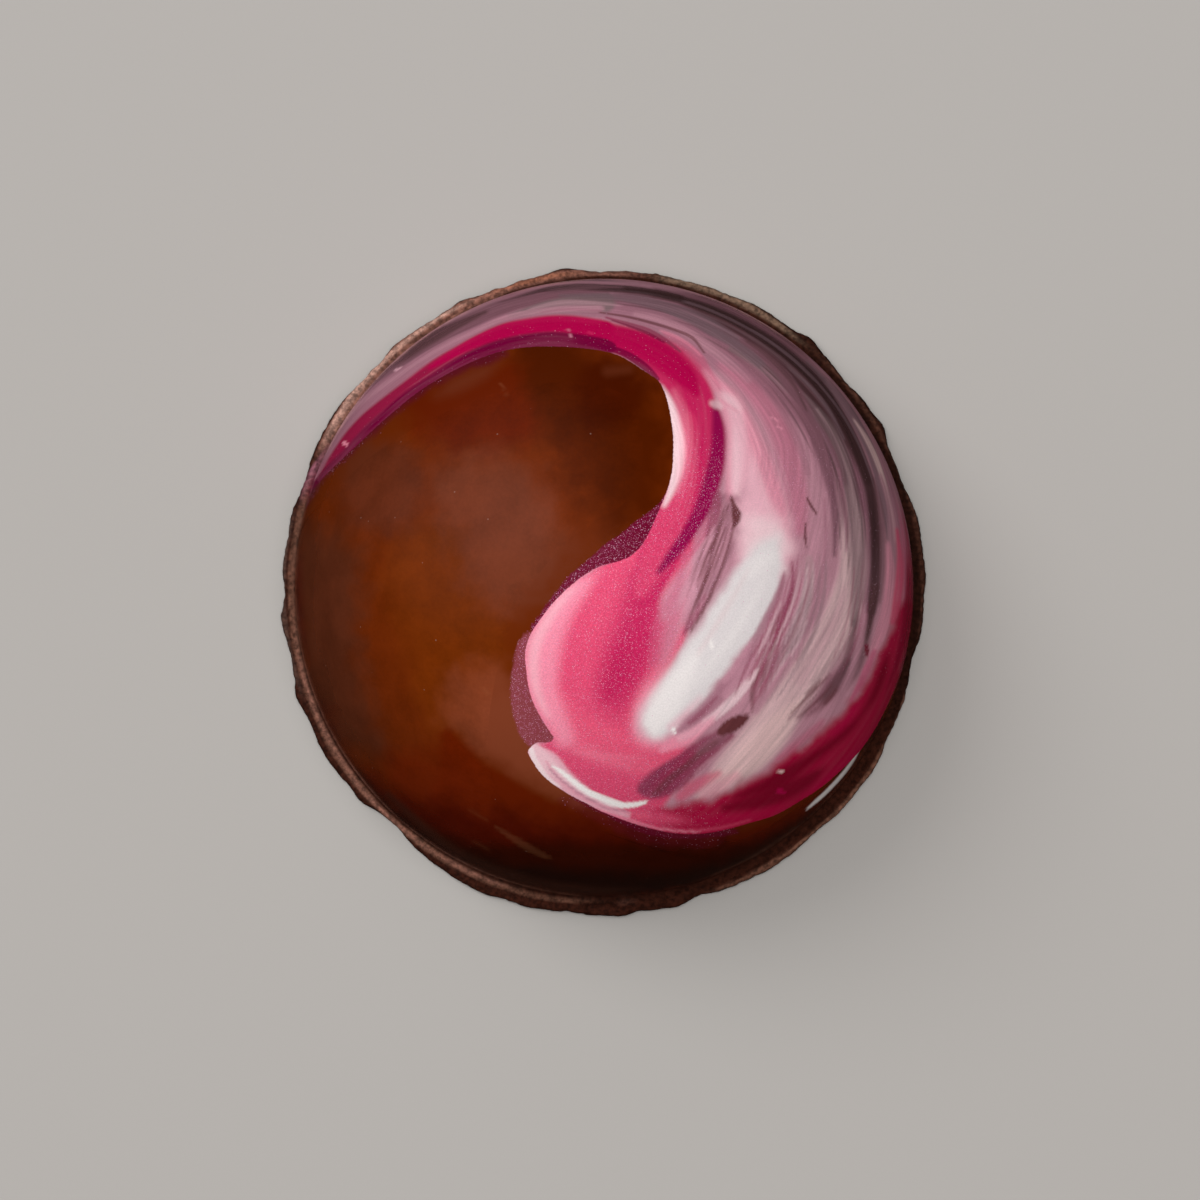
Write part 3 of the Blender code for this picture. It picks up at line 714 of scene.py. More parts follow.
    ("smoke", 0.60, 0.12, 0.5, [(9.29, -4.38, 0.14), (8.85, -4.91, 0.18), (8.41, -5.43, 0.18), (8.05, -5.78, 0.09)]),

    # the dark pit and the smoky band that runs from it
    ("mulberry", 1.0, 0.28, 0.15, [(5.14, -6.18), (4.39, -6.48), (3.74, -6.92), (3.09, -7.35), (2.35, -7.75), (1.83, -8.15), (1.48, -8.59), (1.48, -8.95), (1.92, -9.22),
                                   (2.54, -9.22), (3.15, -8.92), (3.67, -8.47), (4.10, -7.99), (4.58, -7.50), (5.14, -6.93), (5.71, -6.45)]),
    ("smoke", 0.90, 0.25, 0.2, [(5.57, -6.18, 0.36), (5.05, -6.53, 0.59), (4.53, -6.88, 0.54), (4.09, -7.19, 0.27)]),
    ("raspberry", 0.30, 0.25, 0.1, [(3.92, -7.14, 0.23), (3.22, -7.67, 0.36), (2.61, -8.11, 0.36), (2.18, -8.55, 0.23)]),
    ("soot", 0.55, 0.14, 0.4, [(4.88, -6.71, 0.23), (4.27, -7.19, 0.32), (3.66, -7.71, 0.32), (3.05, -8.20, 0.36), (2.53, -8.69, 0.41), (2.18, -9.00, 0.27)]),
    ("soot", 1.0, 0.14, 0.0, [(5.09, -6.27, 0.36), (5.35, -6.09, 0.59), (5.62, -5.96, 0.63), (5.92, -5.79, 0.54), (6.14, -5.66, 0.32)]),
    ("rose", 0.60, 0.35, 0.0, [(4.98, -8.13, 0.27), (4.37, -8.44, 0.50), (3.85, -8.74, 0.54), (3.32, -9.14, 0.41)]),
    ("coral", 0.60, 0.30, 0.1, [(3.31, -7.13, 0.18), (2.70, -7.35, 0.41), (2.00, -7.61, 0.59), (1.31, -7.92, 0.36)]),
]
FRONT = [
    # crimson along the front and the right
    ("crimson", 1.0, 0.62, 0.05, [(13.06, -0.80), (12.72, -1.96), (12.25, -2.84), (11.69, -3.90), (10.96, -4.95), (10.33, -5.70), (9.70, -6.26), (9.07, -6.74), (8.31, -7.26),
                                 (7.65, -7.73), (6.85, -8.17), (6.05, -8.55), (5.09, -9.08), (4.21, -9.38), (2.98, -9.55), (1.58, -9.81), (0.48, -9.94), (2.47, -11.33),
                                 (6.49, -10.97), (10.62, -9.09), (12.53, -6.22), (13.73, -2.65), (13.97, -0.52)]),
    ("ruby", 0.60, 0.55, 0.0, [(11.25, -5.14, 0.27), (10.80, -5.85, 0.54), (10.26, -6.46, 0.45)]),
    ("wine", 0.80, 0.50, 0.0, [(12.64, -2.98, 0.23), (12.37, -3.87, 0.41), (12.01, -4.76, 0.36), (11.46, -5.60, 0.27), (10.73, -6.39, 0.36), (9.82, -7.08, 0.41), (8.92, -7.68, 0.54),
                               (7.93, -8.29, 0.72), (6.86, -8.80, 0.54), (5.76, -9.18, 0.27)]),
    ("ruby", 0.80, 0.55, 0.0, [(13.20, -4.61, 0.23), (12.79, -5.60, 0.41), (12.10, -6.61, 0.50), (11.29, -7.48, 0.54), (10.45, -8.22, 0.50), (9.62, -8.77, 0.36), (8.89, -9.25, 0.23)]),
    ("wine", 0.75, 0.50, 0.0, [(9.76, -7.99, 0.18), (8.95, -8.55, 0.63), (7.96, -9.02, 0.82), (6.66, -9.44, 0.72), (5.32, -9.68, 0.36)]),
    ("ruby", 0.45, 0.45, 0.0, [(8.26, -9.68, 0.18), (6.90, -10.00, 0.36), (5.33, -10.23, 0.41), (4.00, -10.29, 0.36)]),
    ("rose", 0.90, 0.57, 0.05, [(0.00, -9.80, 0.27), (0.92, -9.94, 0.63), (2.02, -10.08, 0.82), (2.98, -10.18, 0.45), (3.78, -10.29, 0.18)]),
    ("coral", 0.90, 0.42, 0.05, [(-0.17, -9.71, 0.36), (0.61, -9.80, 0.45), (1.40, -9.94, 0.41), (2.02, -10.04, 0.18)]),
    ("rose", 0.60, 0.12, 0.2, [(2.02, -10.49, 0.23), (3.57, -10.70, 0.18), (5.12, -10.59, 0.14), (6.46, -10.26, 0.09)]),
    ("fuchsia", 0.60, 0.25, 0.2, [(9.60, -5.90, 0.23), (8.88, -6.51, 0.32), (8.26, -7.03, 0.36), (7.64, -7.51, 0.23)]),
    ("pink", 0.65, 0.06, 0.1, [(-0.17, -9.67, 0.14), (0.92, -10.12, 0.14), (2.02, -10.49, 0.11), (3.12, -10.69, 0.09), (4.23, -10.76, 0.07)]),

    # the rim on the right: rosy, with a pink-rose line into the crimson
    ("blush", 0.90, 0.18, 0.3, [(12.62, 1.91, 0.23), (12.71, 0.80, 0.45), (12.61, -0.53, 0.54), (12.42, -1.42, 0.54), (12.14, -2.30, 0.50), (11.82, -3.05, 0.36), (11.50, -3.71, 0.23)]),
    ("fuchsia", 0.85, 0.16, 0.2, [(11.96, -2.83, 0.23), (11.64, -3.54, 0.36), (11.32, -4.25, 0.32), (10.92, -4.95, 0.18)]),
    ("rose", 0.75, 0.20, 0.3, [(13.09, 2.59, 0.18), (13.21, 1.25, 0.36), (13.15, 0.13, 0.45), (13.00, -0.80, 0.41), (12.81, -1.51, 0.23)]),
    ("cherry", 0.85, 0.20, 0.0, [(13.57, 2.16, 0.09), (13.64, 1.03, 0.23), (13.63, -0.09, 0.32), (13.59, -1.21, 0.41), (13.40, -2.33, 0.41), (13.07, -3.45, 0.23), (12.61, -4.56, 0.09)]),

    # where the dark streak on the right ends
    ("maroon", 0.70, 0.30, 0.1, [(11.79, -1.33, 0.14), (11.61, -2.30, 0.27), (11.39, -3.09, 0.32), (11.12, -3.80, 0.23), (10.76, -4.41, 0.09)]),

    # the smoky patch's dark corner
    ("soot", 0.95, 0.10, 0.0, [(5.51, 3.95, 0.07), (5.60, 3.56, 0.14), (5.73, 3.25, 0.41), (5.72, 2.95, 0.36), (5.64, 2.69, 0.14)]),

    # the lip at the front: a white bead and a thin white line along it, painted highlights where the lip reflects the
    # light
    ("pale", 0.90, 0.20, 0.0, [(-3.04, -7.13, 0.72), (-2.52, -7.66, 1.18), (-1.83, -8.37, 1.00), (-0.87, -9.08, 0.72), (0.00, -9.53, 0.45), (1.05, -9.98, 0.18)]),
    ("shell", 0.50, 0.20, 0.0, [(-3.04, -7.04, 0.54), (-2.70, -7.40, 0.63), (-2.09, -8.01, 0.54), (-1.31, -8.63, 0.36), (-0.52, -9.17, 0.18)]),
    ("white", 0.55, 0.10, 0.0, [(-3.17, -7.04, 0.23), (-3.05, -7.49, 0.27), (-2.79, -7.93, 0.32), (-2.40, -8.37, 0.23), (-1.92, -8.68, 0.09)]),
    ("blush", 0.75, 0.07, 0.2, [(-2.52, -7.57, 0.09), (-1.92, -8.37, 0.14), (-1.05, -9.04, 0.16), (0.04, -9.62, 0.16), (1.14, -9.85, 0.14)]),
    ("white", 1.0, 0.10, 0.0, [(-2.26, -7.75, 0.07), (-1.92, -7.97, 0.16), (-1.39, -8.41, 0.23), (-0.79, -8.86, 0.27), (-0.17, -9.17, 0.29), (0.35, -9.39, 0.32),
                               (0.79, -9.51, 0.27), (1.31, -9.49, 0.23), (1.79, -9.38, 0.16)]),
    ("mauve", 0.55, 0.05, 0.1, [(-2.44, -7.84, 0.07), (-2.09, -8.19, 0.09), (-1.48, -8.68, 0.08), (-0.61, -9.26, 0.07), (0.26, -9.67, 0.07), (1.05, -9.76, 0.05)]),

    # the back on the left: purple, magenta and mauve stripes towards the tip
    ("plum", 1.0, 0.12, 0.1, [(-13.70, 2.83, 0.72), (-13.49, 3.69, 0.63), (-12.63, 4.93, 0.54), (-11.67, 5.84, 0.63), (-10.75, 6.75, 0.72), (-9.84, 7.53, 0.72), (-8.94, 8.32, 0.63), (-7.96, 8.97, 0.54), (-6.80, 9.67, 0.63),
                              (-5.47, 10.32, 0.82), (-4.36, 10.67, 0.91), (-3.26, 10.83, 1.00), (-1.93, 10.86, 1.09), (-0.61, 10.76, 0.91), (0.26, 10.53, 0.54)]),
    ("raspberry", 1.0, 0.24, 0.0, [(-13.32, 4.25, 0.23), (-12.80, 5.36, 0.45), (-11.81, 6.40, 0.63), (-10.88, 7.36, 0.63), (-9.96, 8.14, 0.63), (-9.06, 8.88, 0.63), (-8.16, 9.49, 0.63),
                                   (-7.27, 10.06, 0.63), (-6.38, 10.59, 0.59), (-5.58, 10.94, 0.54)]),
    ("magenta", 1.0, 0.20, 0.0, [(-7.71, 9.75, 0.18), (-6.91, 10.23, 0.36), (-5.76, 10.85, 0.54), (-4.60, 11.33, 0.72), (-3.49, 11.54, 0.72), (-2.39, 11.66, 0.77), (-1.28, 11.60, 0.82), (0.04, 11.36, 0.82)]),
    ("hot", 0.30, 0.20, 0.1, [(-9.07, 9.12, 0.14), (-6.83, 10.47, 0.23), (-4.61, 11.57, 0.27), (-2.39, 11.90, 0.27), (-0.18, 11.74, 0.27)]),
    ("dusk", 1.0, 0.16, 0.2, [(-11.64, 7.75, 0.14), (-11.10, 8.39, 0.27), (-10.16, 9.31, 0.41), (-9.24, 10.00, 0.54), (-8.33, 10.66, 0.68), (-7.34, 11.27, 0.82), (-6.43, 11.71, 0.82), (-5.54, 12.10, 0.82), (-4.64, 12.46, 0.82),
                              (-3.75, 12.72, 0.72), (-2.63, 12.94, 0.63), (-1.29, 13.06, 0.54), (0.04, 13.05, 0.45)]),
    ("maroon", 0.85, 0.20, 0.2, [(-9.92, 9.74, 0.23), (-8.98, 10.32, 0.41), (-7.98, 10.98, 0.54), (-6.98, 11.55, 0.54), (-6.08, 11.99, 0.36), (-5.28, 12.34, 0.18)]),
    ("mauve", 1.0, 0.20, 0.10, [(-13.32, 4.27, 0.27), (-12.86, 5.50, 0.54), (-12.34, 6.57, 0.82), (-11.57, 7.61, 0.91), (-10.62, 8.42, 0.86), (-9.73, 9.02, 0.77), (-8.73, 9.66, 0.63), (-7.74, 10.32, 0.50),
                                (-6.75, 10.84, 0.41), (-5.78, 11.37, 0.36), (-4.71, 11.86, 0.36), (-3.64, 12.22, 0.36)]),
    ("stone", 1.0, 0.20, 0.10, [(-4.18, 12.09, 0.18), (-3.29, 12.31, 0.41), (-2.49, 12.48, 0.63), (-1.29, 12.61, 0.82), (0.04, 12.65, 0.91)]),
    ("lilac", 0.75, 0.14, 0.1, [(-13.01, 5.12, 0.14), (-12.51, 6.25, 0.32), (-11.87, 7.39, 0.36), (-10.91, 8.31, 0.27), (-9.69, 9.16, 0.23), (-8.60, 9.85, 0.18), (-7.30, 10.63, 0.18), (-5.95, 11.29, 0.18), (-4.40, 12.00, 0.23),
                                (-3.06, 12.25, 0.27), (-1.73, 12.37, 0.32), (-0.18, 12.36, 0.32)]),
    ("heather", 0.80, 0.10, 0.2, [(-2.84, 12.20, 0.09), (-1.73, 12.32, 0.14), (-0.18, 12.26, 0.14)]),
    ("heather", 0.80, 0.16, 0.2, [(-5.69, 12.74, 0.23), (-5.06, 13.02, 0.41), (-4.46, 13.10, 0.45), (-3.69, 13.26, 0.36), (-2.64, 13.31, 0.23)]),
    ("lilac", 0.40, 0.16, 0.0, [(-4.78, 13.02, 0.18), (-4.41, 13.09, 0.32), (-4.04, 13.11, 0.18)]),
    ("pale", 0.30, 0.12, 0.2, [(-3.29, 12.40, 0.09), (-1.96, 12.67, 0.23), (-0.62, 12.65, 0.18), (0.71, 12.51, 0.09)]),
    ("slate", 0.80, 0.14, 0.2, [(-3.72, 13.48, 0.14), (-2.42, 13.77, 0.23), (-1.08, 13.94, 0.27), (0.27, 13.88, 0.27), (1.62, 13.72, 0.23)]),
    ("umber", 0.85, 0.16, 0.2, [(-4.67, 12.83, 0.09), (-3.77, 13.09, 0.18), (-2.65, 13.36, 0.27), (-1.30, 13.48, 0.36), (0.04, 13.41, 0.41), (1.61, 13.27, 0.45), (3.40, 12.91, 0.41)]),

    ("plum", 1.0, 0.12, 0.0, [(-13.79, 2.33), (-13.67, 2.97), (-13.11, 3.95), (-12.72, 4.66), (-13.08, 4.96), (-13.27, 4.42), (-13.52, 3.57), (-13.69, 2.87)]),

    # the back on the right: fine streaks that follow the ring
    ("slate", 0.85, 0.16, 0.3, [(-1.96, 13.02, 0.14), (-0.18, 13.00, 0.27), (1.16, 12.86, 0.41), (2.49, 12.53, 0.50), (3.82, 12.03, 0.63), (4.92, 11.44, 0.72), (6.02, 10.72, 0.63), (6.90, 9.91, 0.45)]),
    ("lilac", 0.80, 0.20, 0.4, [(1.42, 12.08, 0.32), (2.48, 11.81, 0.41), (3.53, 11.31, 0.45), (4.50, 10.67, 0.45), (5.46, 9.95, 0.45), (6.34, 9.15, 0.36)]),
    ("soot", 0.75, 0.06, 0.1, [(-0.18, 12.17, 0.07), (0.97, 11.98, 0.11), (2.03, 11.71, 0.14), (3.18, 11.35, 0.14), (3.88, 11.03, 0.14), (4.40, 10.34, 0.09)]),
    ("mulberry", 0.90, 0.08, 0.1, [(0.09, 11.93, 0.09), (1.15, 11.60, 0.18), (1.94, 11.33, 0.23), (2.73, 10.87, 0.18), (3.34, 10.37, 0.09)]),
    ("plum", 0.70, 0.06, 0.1, [(0.35, 11.79, 0.07), (1.37, 11.42, 0.11), (2.03, 11.14, 0.14), (2.64, 10.78, 0.09)]),
    ("pink", 0.45, 0.08, 0.2, [(2.47, 11.33, 0.09), (3.17, 11.06, 0.16), (3.79, 10.66, 0.14), (4.22, 10.20, 0.09)]),
    ("fuchsia", 0.40, 0.20, 0.1, [(3.78, 10.38, 0.14), (4.30, 9.84, 0.23), (4.78, 9.21, 0.23), (5.08, 8.67, 0.14)]),
    ("heather", 0.70, 0.14, 0.4, [(5.21, 10.50, 0.18), (6.26, 9.75, 0.32), (7.13, 8.81, 0.36), (7.91, 7.65, 0.36), (8.52, 6.32, 0.32), (8.94, 5.00, 0.23)]),
    ("dusk", 0.95, 0.20, 0.15, [(6.12, 10.96, 0.23), (7.01, 10.38, 0.41), (7.84, 9.52, 0.54), (8.53, 8.44, 0.63), (9.09, 7.23, 0.63), (9.55, 5.99, 0.54), (9.85, 4.84, 0.45), (10.06, 3.78, 0.32), (10.13, 2.54, 0.23), (10.08, 1.40, 0.14)]),
    ("maroon", 0.70, 0.10, 0.2, [(6.30, 10.97, 0.14), (7.01, 10.52, 0.23), (7.80, 9.76, 0.27), (8.46, 8.85, 0.18), (8.92, 7.86, 0.09)]),
    ("heather", 0.60, 0.10, 0.4, [(10.32, 5.20, 0.14), (10.52, 3.87, 0.23), (10.64, 2.55, 0.18), (10.63, 1.58, 0.09)]),
]

# Streaks that follow the dome's ring: (colour, strength, softness in mm, bristle share,
# [(degrees, radius in mm, width in mm), ...]), from the back round to the right and the front.
RING_STREAKS = [
    ("dusk", 0.60, 0.60, 0.1, [(96, 12.90, 0.54), (84, 12.80, 0.82), (70, 12.60, 1.18), (56, 12.41, 1.63), (44, 12.31, 1.90), (32, 12.12, 1.90), (20, 11.83, 1.81), (8, 11.55, 1.36), (-2, 11.36, 0.72)]),
    ("maroon", 0.90, 0.30, 0.2, [(74, 13.21, 0.36), (64, 13.05, 0.82), (54, 12.85, 1.09), (46, 12.80, 1.09), (38, 12.75, 0.91), (30, 12.70, 0.63), (22, 12.60, 0.36)]),
    ("dusk", 0.95, 0.14, 0.2, [(80, 13.69, 0.36), (66, 13.69, 0.41), (52, 13.69, 0.45), (44, 13.63, 0.45)]),
    ("slate", 0.90, 0.14, 0.2, [(48, 13.66, 0.32), (40, 13.58, 0.45), (34, 13.50, 0.50), (27, 13.39, 0.54), (22, 13.26, 0.54), (15.5, 13.10, 0.54), (8.6, 12.95, 0.45), (2, 12.85, 0.36)]),
    ("stone", 0.85, 0.14, 0.3, [(62, 11.93, 0.23), (54, 11.98, 0.41), (44, 12.07, 0.54), (36, 12.22, 0.59), (29, 12.07, 0.59), (22, 11.74, 0.59), (15, 11.50, 0.59), (8, 11.27, 0.54), (0, 11.13, 0.50), (-8, 11.08, 0.36)]),
    ("ash", 0.55, 0.35, 0.2, [(22, 11.55, 0.36), (16, 11.36, 1.00), (9, 11.27, 1.00), (2, 11.18, 0.82), (-6, 10.99, 0.45)]),
    ("ash", 0.60, 0.08, 0.3, [(40, 12.31, 0.14), (34, 12.26, 0.18), (28, 12.07, 0.23), (22, 11.79, 0.23), (15, 11.55, 0.23), (8, 11.32, 0.23)]),
    # a dark band near the back right rim: a brush streak, partly painted shade where the rim is dimly lit
    ("umber", 0.95, 0.26, 0.1, [(86, 13.41, 0.18), (78, 13.36, 0.36), (68, 13.31, 0.50), (60, 13.28, 0.54), (52, 13.26, 0.59), (44, 13.18, 0.59), (36, 12.98, 0.59), (28, 12.78, 0.54),
                               (22, 12.63, 0.54), (15, 12.36, 0.54), (8, 12.12, 0.54), (1, 11.95, 0.50), (-5, 11.83, 0.45)]),
    ("maroon", 1.0, 0.20, 0.1, [(0, 11.95, 0.45), (-5, 11.86, 0.36), (-9, 11.81, 0.23), (-12, 11.76, 0.09)]),
    ("umber", 0.30, 0.12, 0.1, [(60, 12.46, 0.09), (54, 12.46, 0.18), (48, 12.48, 0.18), (42, 12.51, 0.18), (36, 12.56, 0.14), (30, 12.51, 0.09)]),
    ("slate", 0.70, 0.07, 0.2, [(50, 12.75, 0.09), (44, 12.78, 0.18), (38, 12.70, 0.18), (32, 12.51, 0.14)]),
    ("maroon", 0.50, 0.20, 0.1, [(22, 12.90, 0.18), (17, 12.75, 0.36), (12, 12.60, 0.41), (7, 12.46, 0.41), (2, 12.31, 0.36), (-3, 12.17, 0.23)]),
    ("peach", 0.75, 0.14, 0.1, [(34, 13.47, 0.09), (30, 13.50, 0.23), (26, 13.47, 0.27), (22, 13.39, 0.23), (18, 13.31, 0.18), (14, 13.26, 0.18), (9, 13.15, 0.14)]),
    ("lilac", 0.85, 0.18, 0.2, [(22, 13.31, 0.18), (16, 13.26, 0.36), (10, 13.05, 0.45), (4, 12.95, 0.54), (-2, 12.90, 0.54), (-8, 12.80, 0.45), (-13, 12.65, 0.27)]),
    ("mauve", 0.75, 0.18, 0.1, [(26, 13.69, 0.09), (20, 13.61, 0.23), (14, 13.50, 0.32), (9, 13.39, 0.36), (4, 13.31, 0.36), (-2, 13.21, 0.27), (-7, 13.10, 0.09)]),
    ("fuchsia", 0.70, 0.20, 0.0, [(19, 13.69, 0.05), (14, 13.66, 0.14), (9, 13.58, 0.23), (4, 13.52, 0.27), (-1, 13.47, 0.23), (-6, 13.41, 0.09)]),
    ("magenta", 0.65, 0.20, 0.0, [(20, 13.88, 0.05), (14, 13.85, 0.14), (8, 13.81, 0.23), (3, 13.78, 0.27), (-3, 13.75, 0.23), (-8, 13.75, 0.09)]),
    ("cherry", 0.80, 0.20, 0.0, [(12, 13.97, 0.05), (6, 13.92, 0.14), (0, 13.88, 0.23), (-6, 13.88, 0.27), (-14, 13.88, 0.27), (-22, 13.81, 0.14)]),
]

# Single bristles' lines: (colour, strength, softness in mm, how many, thickness in mm, the band that they run along).
HAIRS = [
    ("soot", 0.70, 0.09, 8, 0.13, [(5.38, 3.82, 0.91), (5.07, 2.86, 1.18), (4.76, 1.77, 1.27), (4.41, 0.78, 1.27), (4.02, -0.26, 1.18), (3.63, -1.30, 0.91), (3.28, -2.25, 0.45)]),
    ("orchid", 0.80, 0.09, 8, 0.12, [(5.33, 3.60, 0.91), (5.02, 2.64, 1.09), (4.72, 1.64, 1.18), (4.37, 0.65, 1.18), (3.98, -0.35, 1.09), (3.59, -1.30, 0.72), (3.28, -1.99, 0.36)]),
    ("soot", 0.75, 0.09, 4, 0.13, [(5.38, 3.47, 0.72), (5.11, 2.51, 0.82), (4.76, 1.56, 0.82), (4.41, 0.61, 0.72), (4.06, -0.26, 0.54)]),
    ("mulberry", 0.55, 0.10, 8, 0.13, [(8.54, 1.40, 1.36), (8.36, -0.09, 1.54), (7.88, -1.48, 1.54), (7.26, -2.78, 1.45), (6.65, -4.00, 1.27), (6.09, -5.13, 0.82)]),
    ("shell", 0.45, 0.10, 7, 0.13, [(8.81, 1.40, 1.18), (8.54, -0.17, 1.45), (8.05, -1.57, 1.54), (7.44, -2.87, 1.45), (6.79, -4.18, 1.18), (6.27, -5.14, 0.72)]),
    ("grey", 0.65, 0.10, 8, 0.13, [(9.22, 1.40, 1.18), (9.08, -0.35, 1.36), (8.59, -2.01, 1.36), (7.93, -3.31, 1.36), (7.24, -4.62, 1.09), (6.71, -5.41, 0.54)]),
    ("ash", 0.45, 0.10, 7, 0.11, [(10.63, 1.41, 1.00), (10.49, -0.53, 1.45), (9.81, -2.28, 1.63), (8.92, -3.85, 1.72), (7.96, -5.25, 1.72), (6.91, -6.65, 1.54), (6.04, -7.61, 0.91)]),
    ("dimrose", 0.35, 0.09, 5, 0.10, [(6.18, 8.42, 1.00), (7.04, 6.65, 1.36), (7.68, 4.80, 1.54), (8.11, 2.96, 1.54), (8.28, 1.74, 1.18)]),
    ("shell", 0.12, 0.09, 4, 0.10, [(5.87, 8.42, 1.00), (6.73, 6.64, 1.36), (7.33, 4.80, 1.54), (7.75, 2.96, 1.54), (7.83, 1.74, 1.00)]),
    ("soot", 0.65, 0.10, 6, 0.13, [(10.47, -3.52, 0.63), (9.84, -4.30, 1.09), (9.21, -4.91, 1.18), (8.50, -5.52, 1.00), (8.06, -5.87, 0.54)]),
    ("mulberry", 0.70, 0.10, 5, 0.15, [(7.48, -1.74, 0.72), (7.13, -2.61, 1.00), (6.69, -3.56, 1.18), (6.26, -4.52, 1.18), (5.83, -5.31, 0.72)]),
    ("soot", 0.45, 0.10, 3, 0.14, [(7.74, -0.78, 0.54), (7.39, -1.74, 0.72), (7.04, -2.69, 0.72), (6.65, -3.74, 0.63), (6.44, -4.79, 0.36)]),
    ("mulberry", 0.40, 0.07, 5, 0.10, [(11.37, 1.23, 0.72), (11.27, -0.53, 1.00), (11.00, -2.02, 1.09), (10.46, -3.34, 1.09), (9.84, -4.30, 0.72)]),
    ("mulberry", 0.50, 0.08, 5, 0.09, [(5.75, -6.27, 0.45), (4.79, -6.88, 0.91), (3.83, -7.58, 1.18), (2.88, -8.37, 1.18), (2.18, -9.00, 0.63)]),
    ("pink", 0.20, 0.08, 4, 0.09, [(3.75, 8.20, 0.63), (3.92, 6.87, 0.82), (3.73, 5.12, 0.91), (3.29, 3.37, 1.00), (2.59, 1.86, 1.00)]),
]
RING_HAIRS = [
    ("umber", 0.55, 0.07, 12, 0.10, [(112, 13.00, 0.45), (92, 13.00, 0.72), (72, 12.95, 1.09), (54, 12.75, 1.45), (38, 12.56, 1.72), (24, 12.22, 1.90), (10, 11.83, 1.99), (-4, 11.55, 1.81)]),
    ("slate", 0.60, 0.07, 8, 0.10, [(108, 13.00, 0.54), (90, 13.00, 0.82), (72, 12.85, 1.18), (54, 12.70, 1.45), (38, 12.46, 1.72), (24, 12.12, 1.90), (10, 11.74, 1.90), (-4, 11.46, 1.63)]),
    ("lilac", 0.45, 0.07, 7, 0.09, [(96, 12.56, 0.54), (78, 12.46, 0.82), (60, 12.22, 1.09), (44, 11.93, 1.45), (28, 11.55, 1.54), (12, 11.18, 1.45)]),
    ("maroon", 0.55, 0.07, 6, 0.09, [(84, 12.22, 0.54), (68, 12.12, 0.91), (52, 11.83, 1.27), (36, 11.36, 1.45), (20, 10.90, 1.36), (6, 10.53, 1.09)]),
]

# Small marks: (colour, [(x, y, width), ...]) in the colouring, then on the chocolate.
SPECKS = [
    ("pale", [(-9.31, 9.76, 0.12), (-9.12, 9.79, 0.12)]), ("pink", [(-11.61, 6.47, 0.18), (-11.45, 6.37, 0.14)]),
    ("fuchsia", [(-1.63, 11.37, 0.11), (-1.50, 11.32, 0.11)]), ("dimrose", [(-1.54, 11.14, 0.10), (-1.45, 11.04, 0.09)]), ("hot", [(-0.70, 11.23, 0.14), (-0.53, 11.18, 0.14)]),
    ("white", [(2.95, -6.07, 0.12), (3.04, -6.21, 0.14), (3.08, -6.34, 0.11)]), ("wine", [(11.52, -2.52, 0.14), (11.62, -2.74, 0.23), (11.58, -2.96, 0.14)]),
    ("soot", [(8.88, 3.89, 0.07), (9.05, 3.54, 0.11), (9.28, 3.24, 0.07)]), ("soot", [(8.78, 2.79, 0.09), (8.77, 2.27, 0.12), (8.81, 1.79, 0.07)]),
    ("peach", [(7.61, -8.00, 0.10), (7.84, -8.08, 0.13)]), ("magenta", [(7.73, -8.96, 0.23), (7.96, -9.06, 0.18)]),
    ("blush", [(7.24, 7.46, 0.07), (7.46, 7.42, 0.08), (7.64, 7.28, 0.06)]), ("blush", [(7.54, 7.06, 0.08), (7.81, 6.98, 0.07)]),
]
SCUFFS_AND_GLINT = [
    # a painted highlight: the thin white line on the front right, where the rim glints; the tan marks after it are
    # scuffs
    ("white", 1.0, [(9.08, -9.88, 0.09), (9.44, -9.57, 0.18), (9.85, -9.22, 0.20), (10.25, -8.82, 0.20), (10.62, -8.42, 0.20), (10.98, -7.98, 0.18), (11.24, -7.57, 0.14), (11.41, -7.21, 0.07)]),
    ("tan", 0.12, [(-4.55, 8.93, 0.08), (-4.37, 8.66, 0.10), (-4.24, 8.39, 0.07)]),
    ("tan", 0.12, [(-4.76, -10.58, 0.09), (-4.06, -11.03, 0.27), (-3.27, -11.54, 0.32), (-2.48, -11.95, 0.18)]),
    ("tan", 0.05, [(-5.90, -9.78, 0.14), (-5.20, -10.22, 0.14)]), ("tan", 0.06, [(-5.77, -11.28, 0.14), (-5.11, -11.64, 0.14)]),
    ("tan", 0.40, [(-5.21, -4.51, 0.11), (-5.12, -4.60, 0.11)]),
]
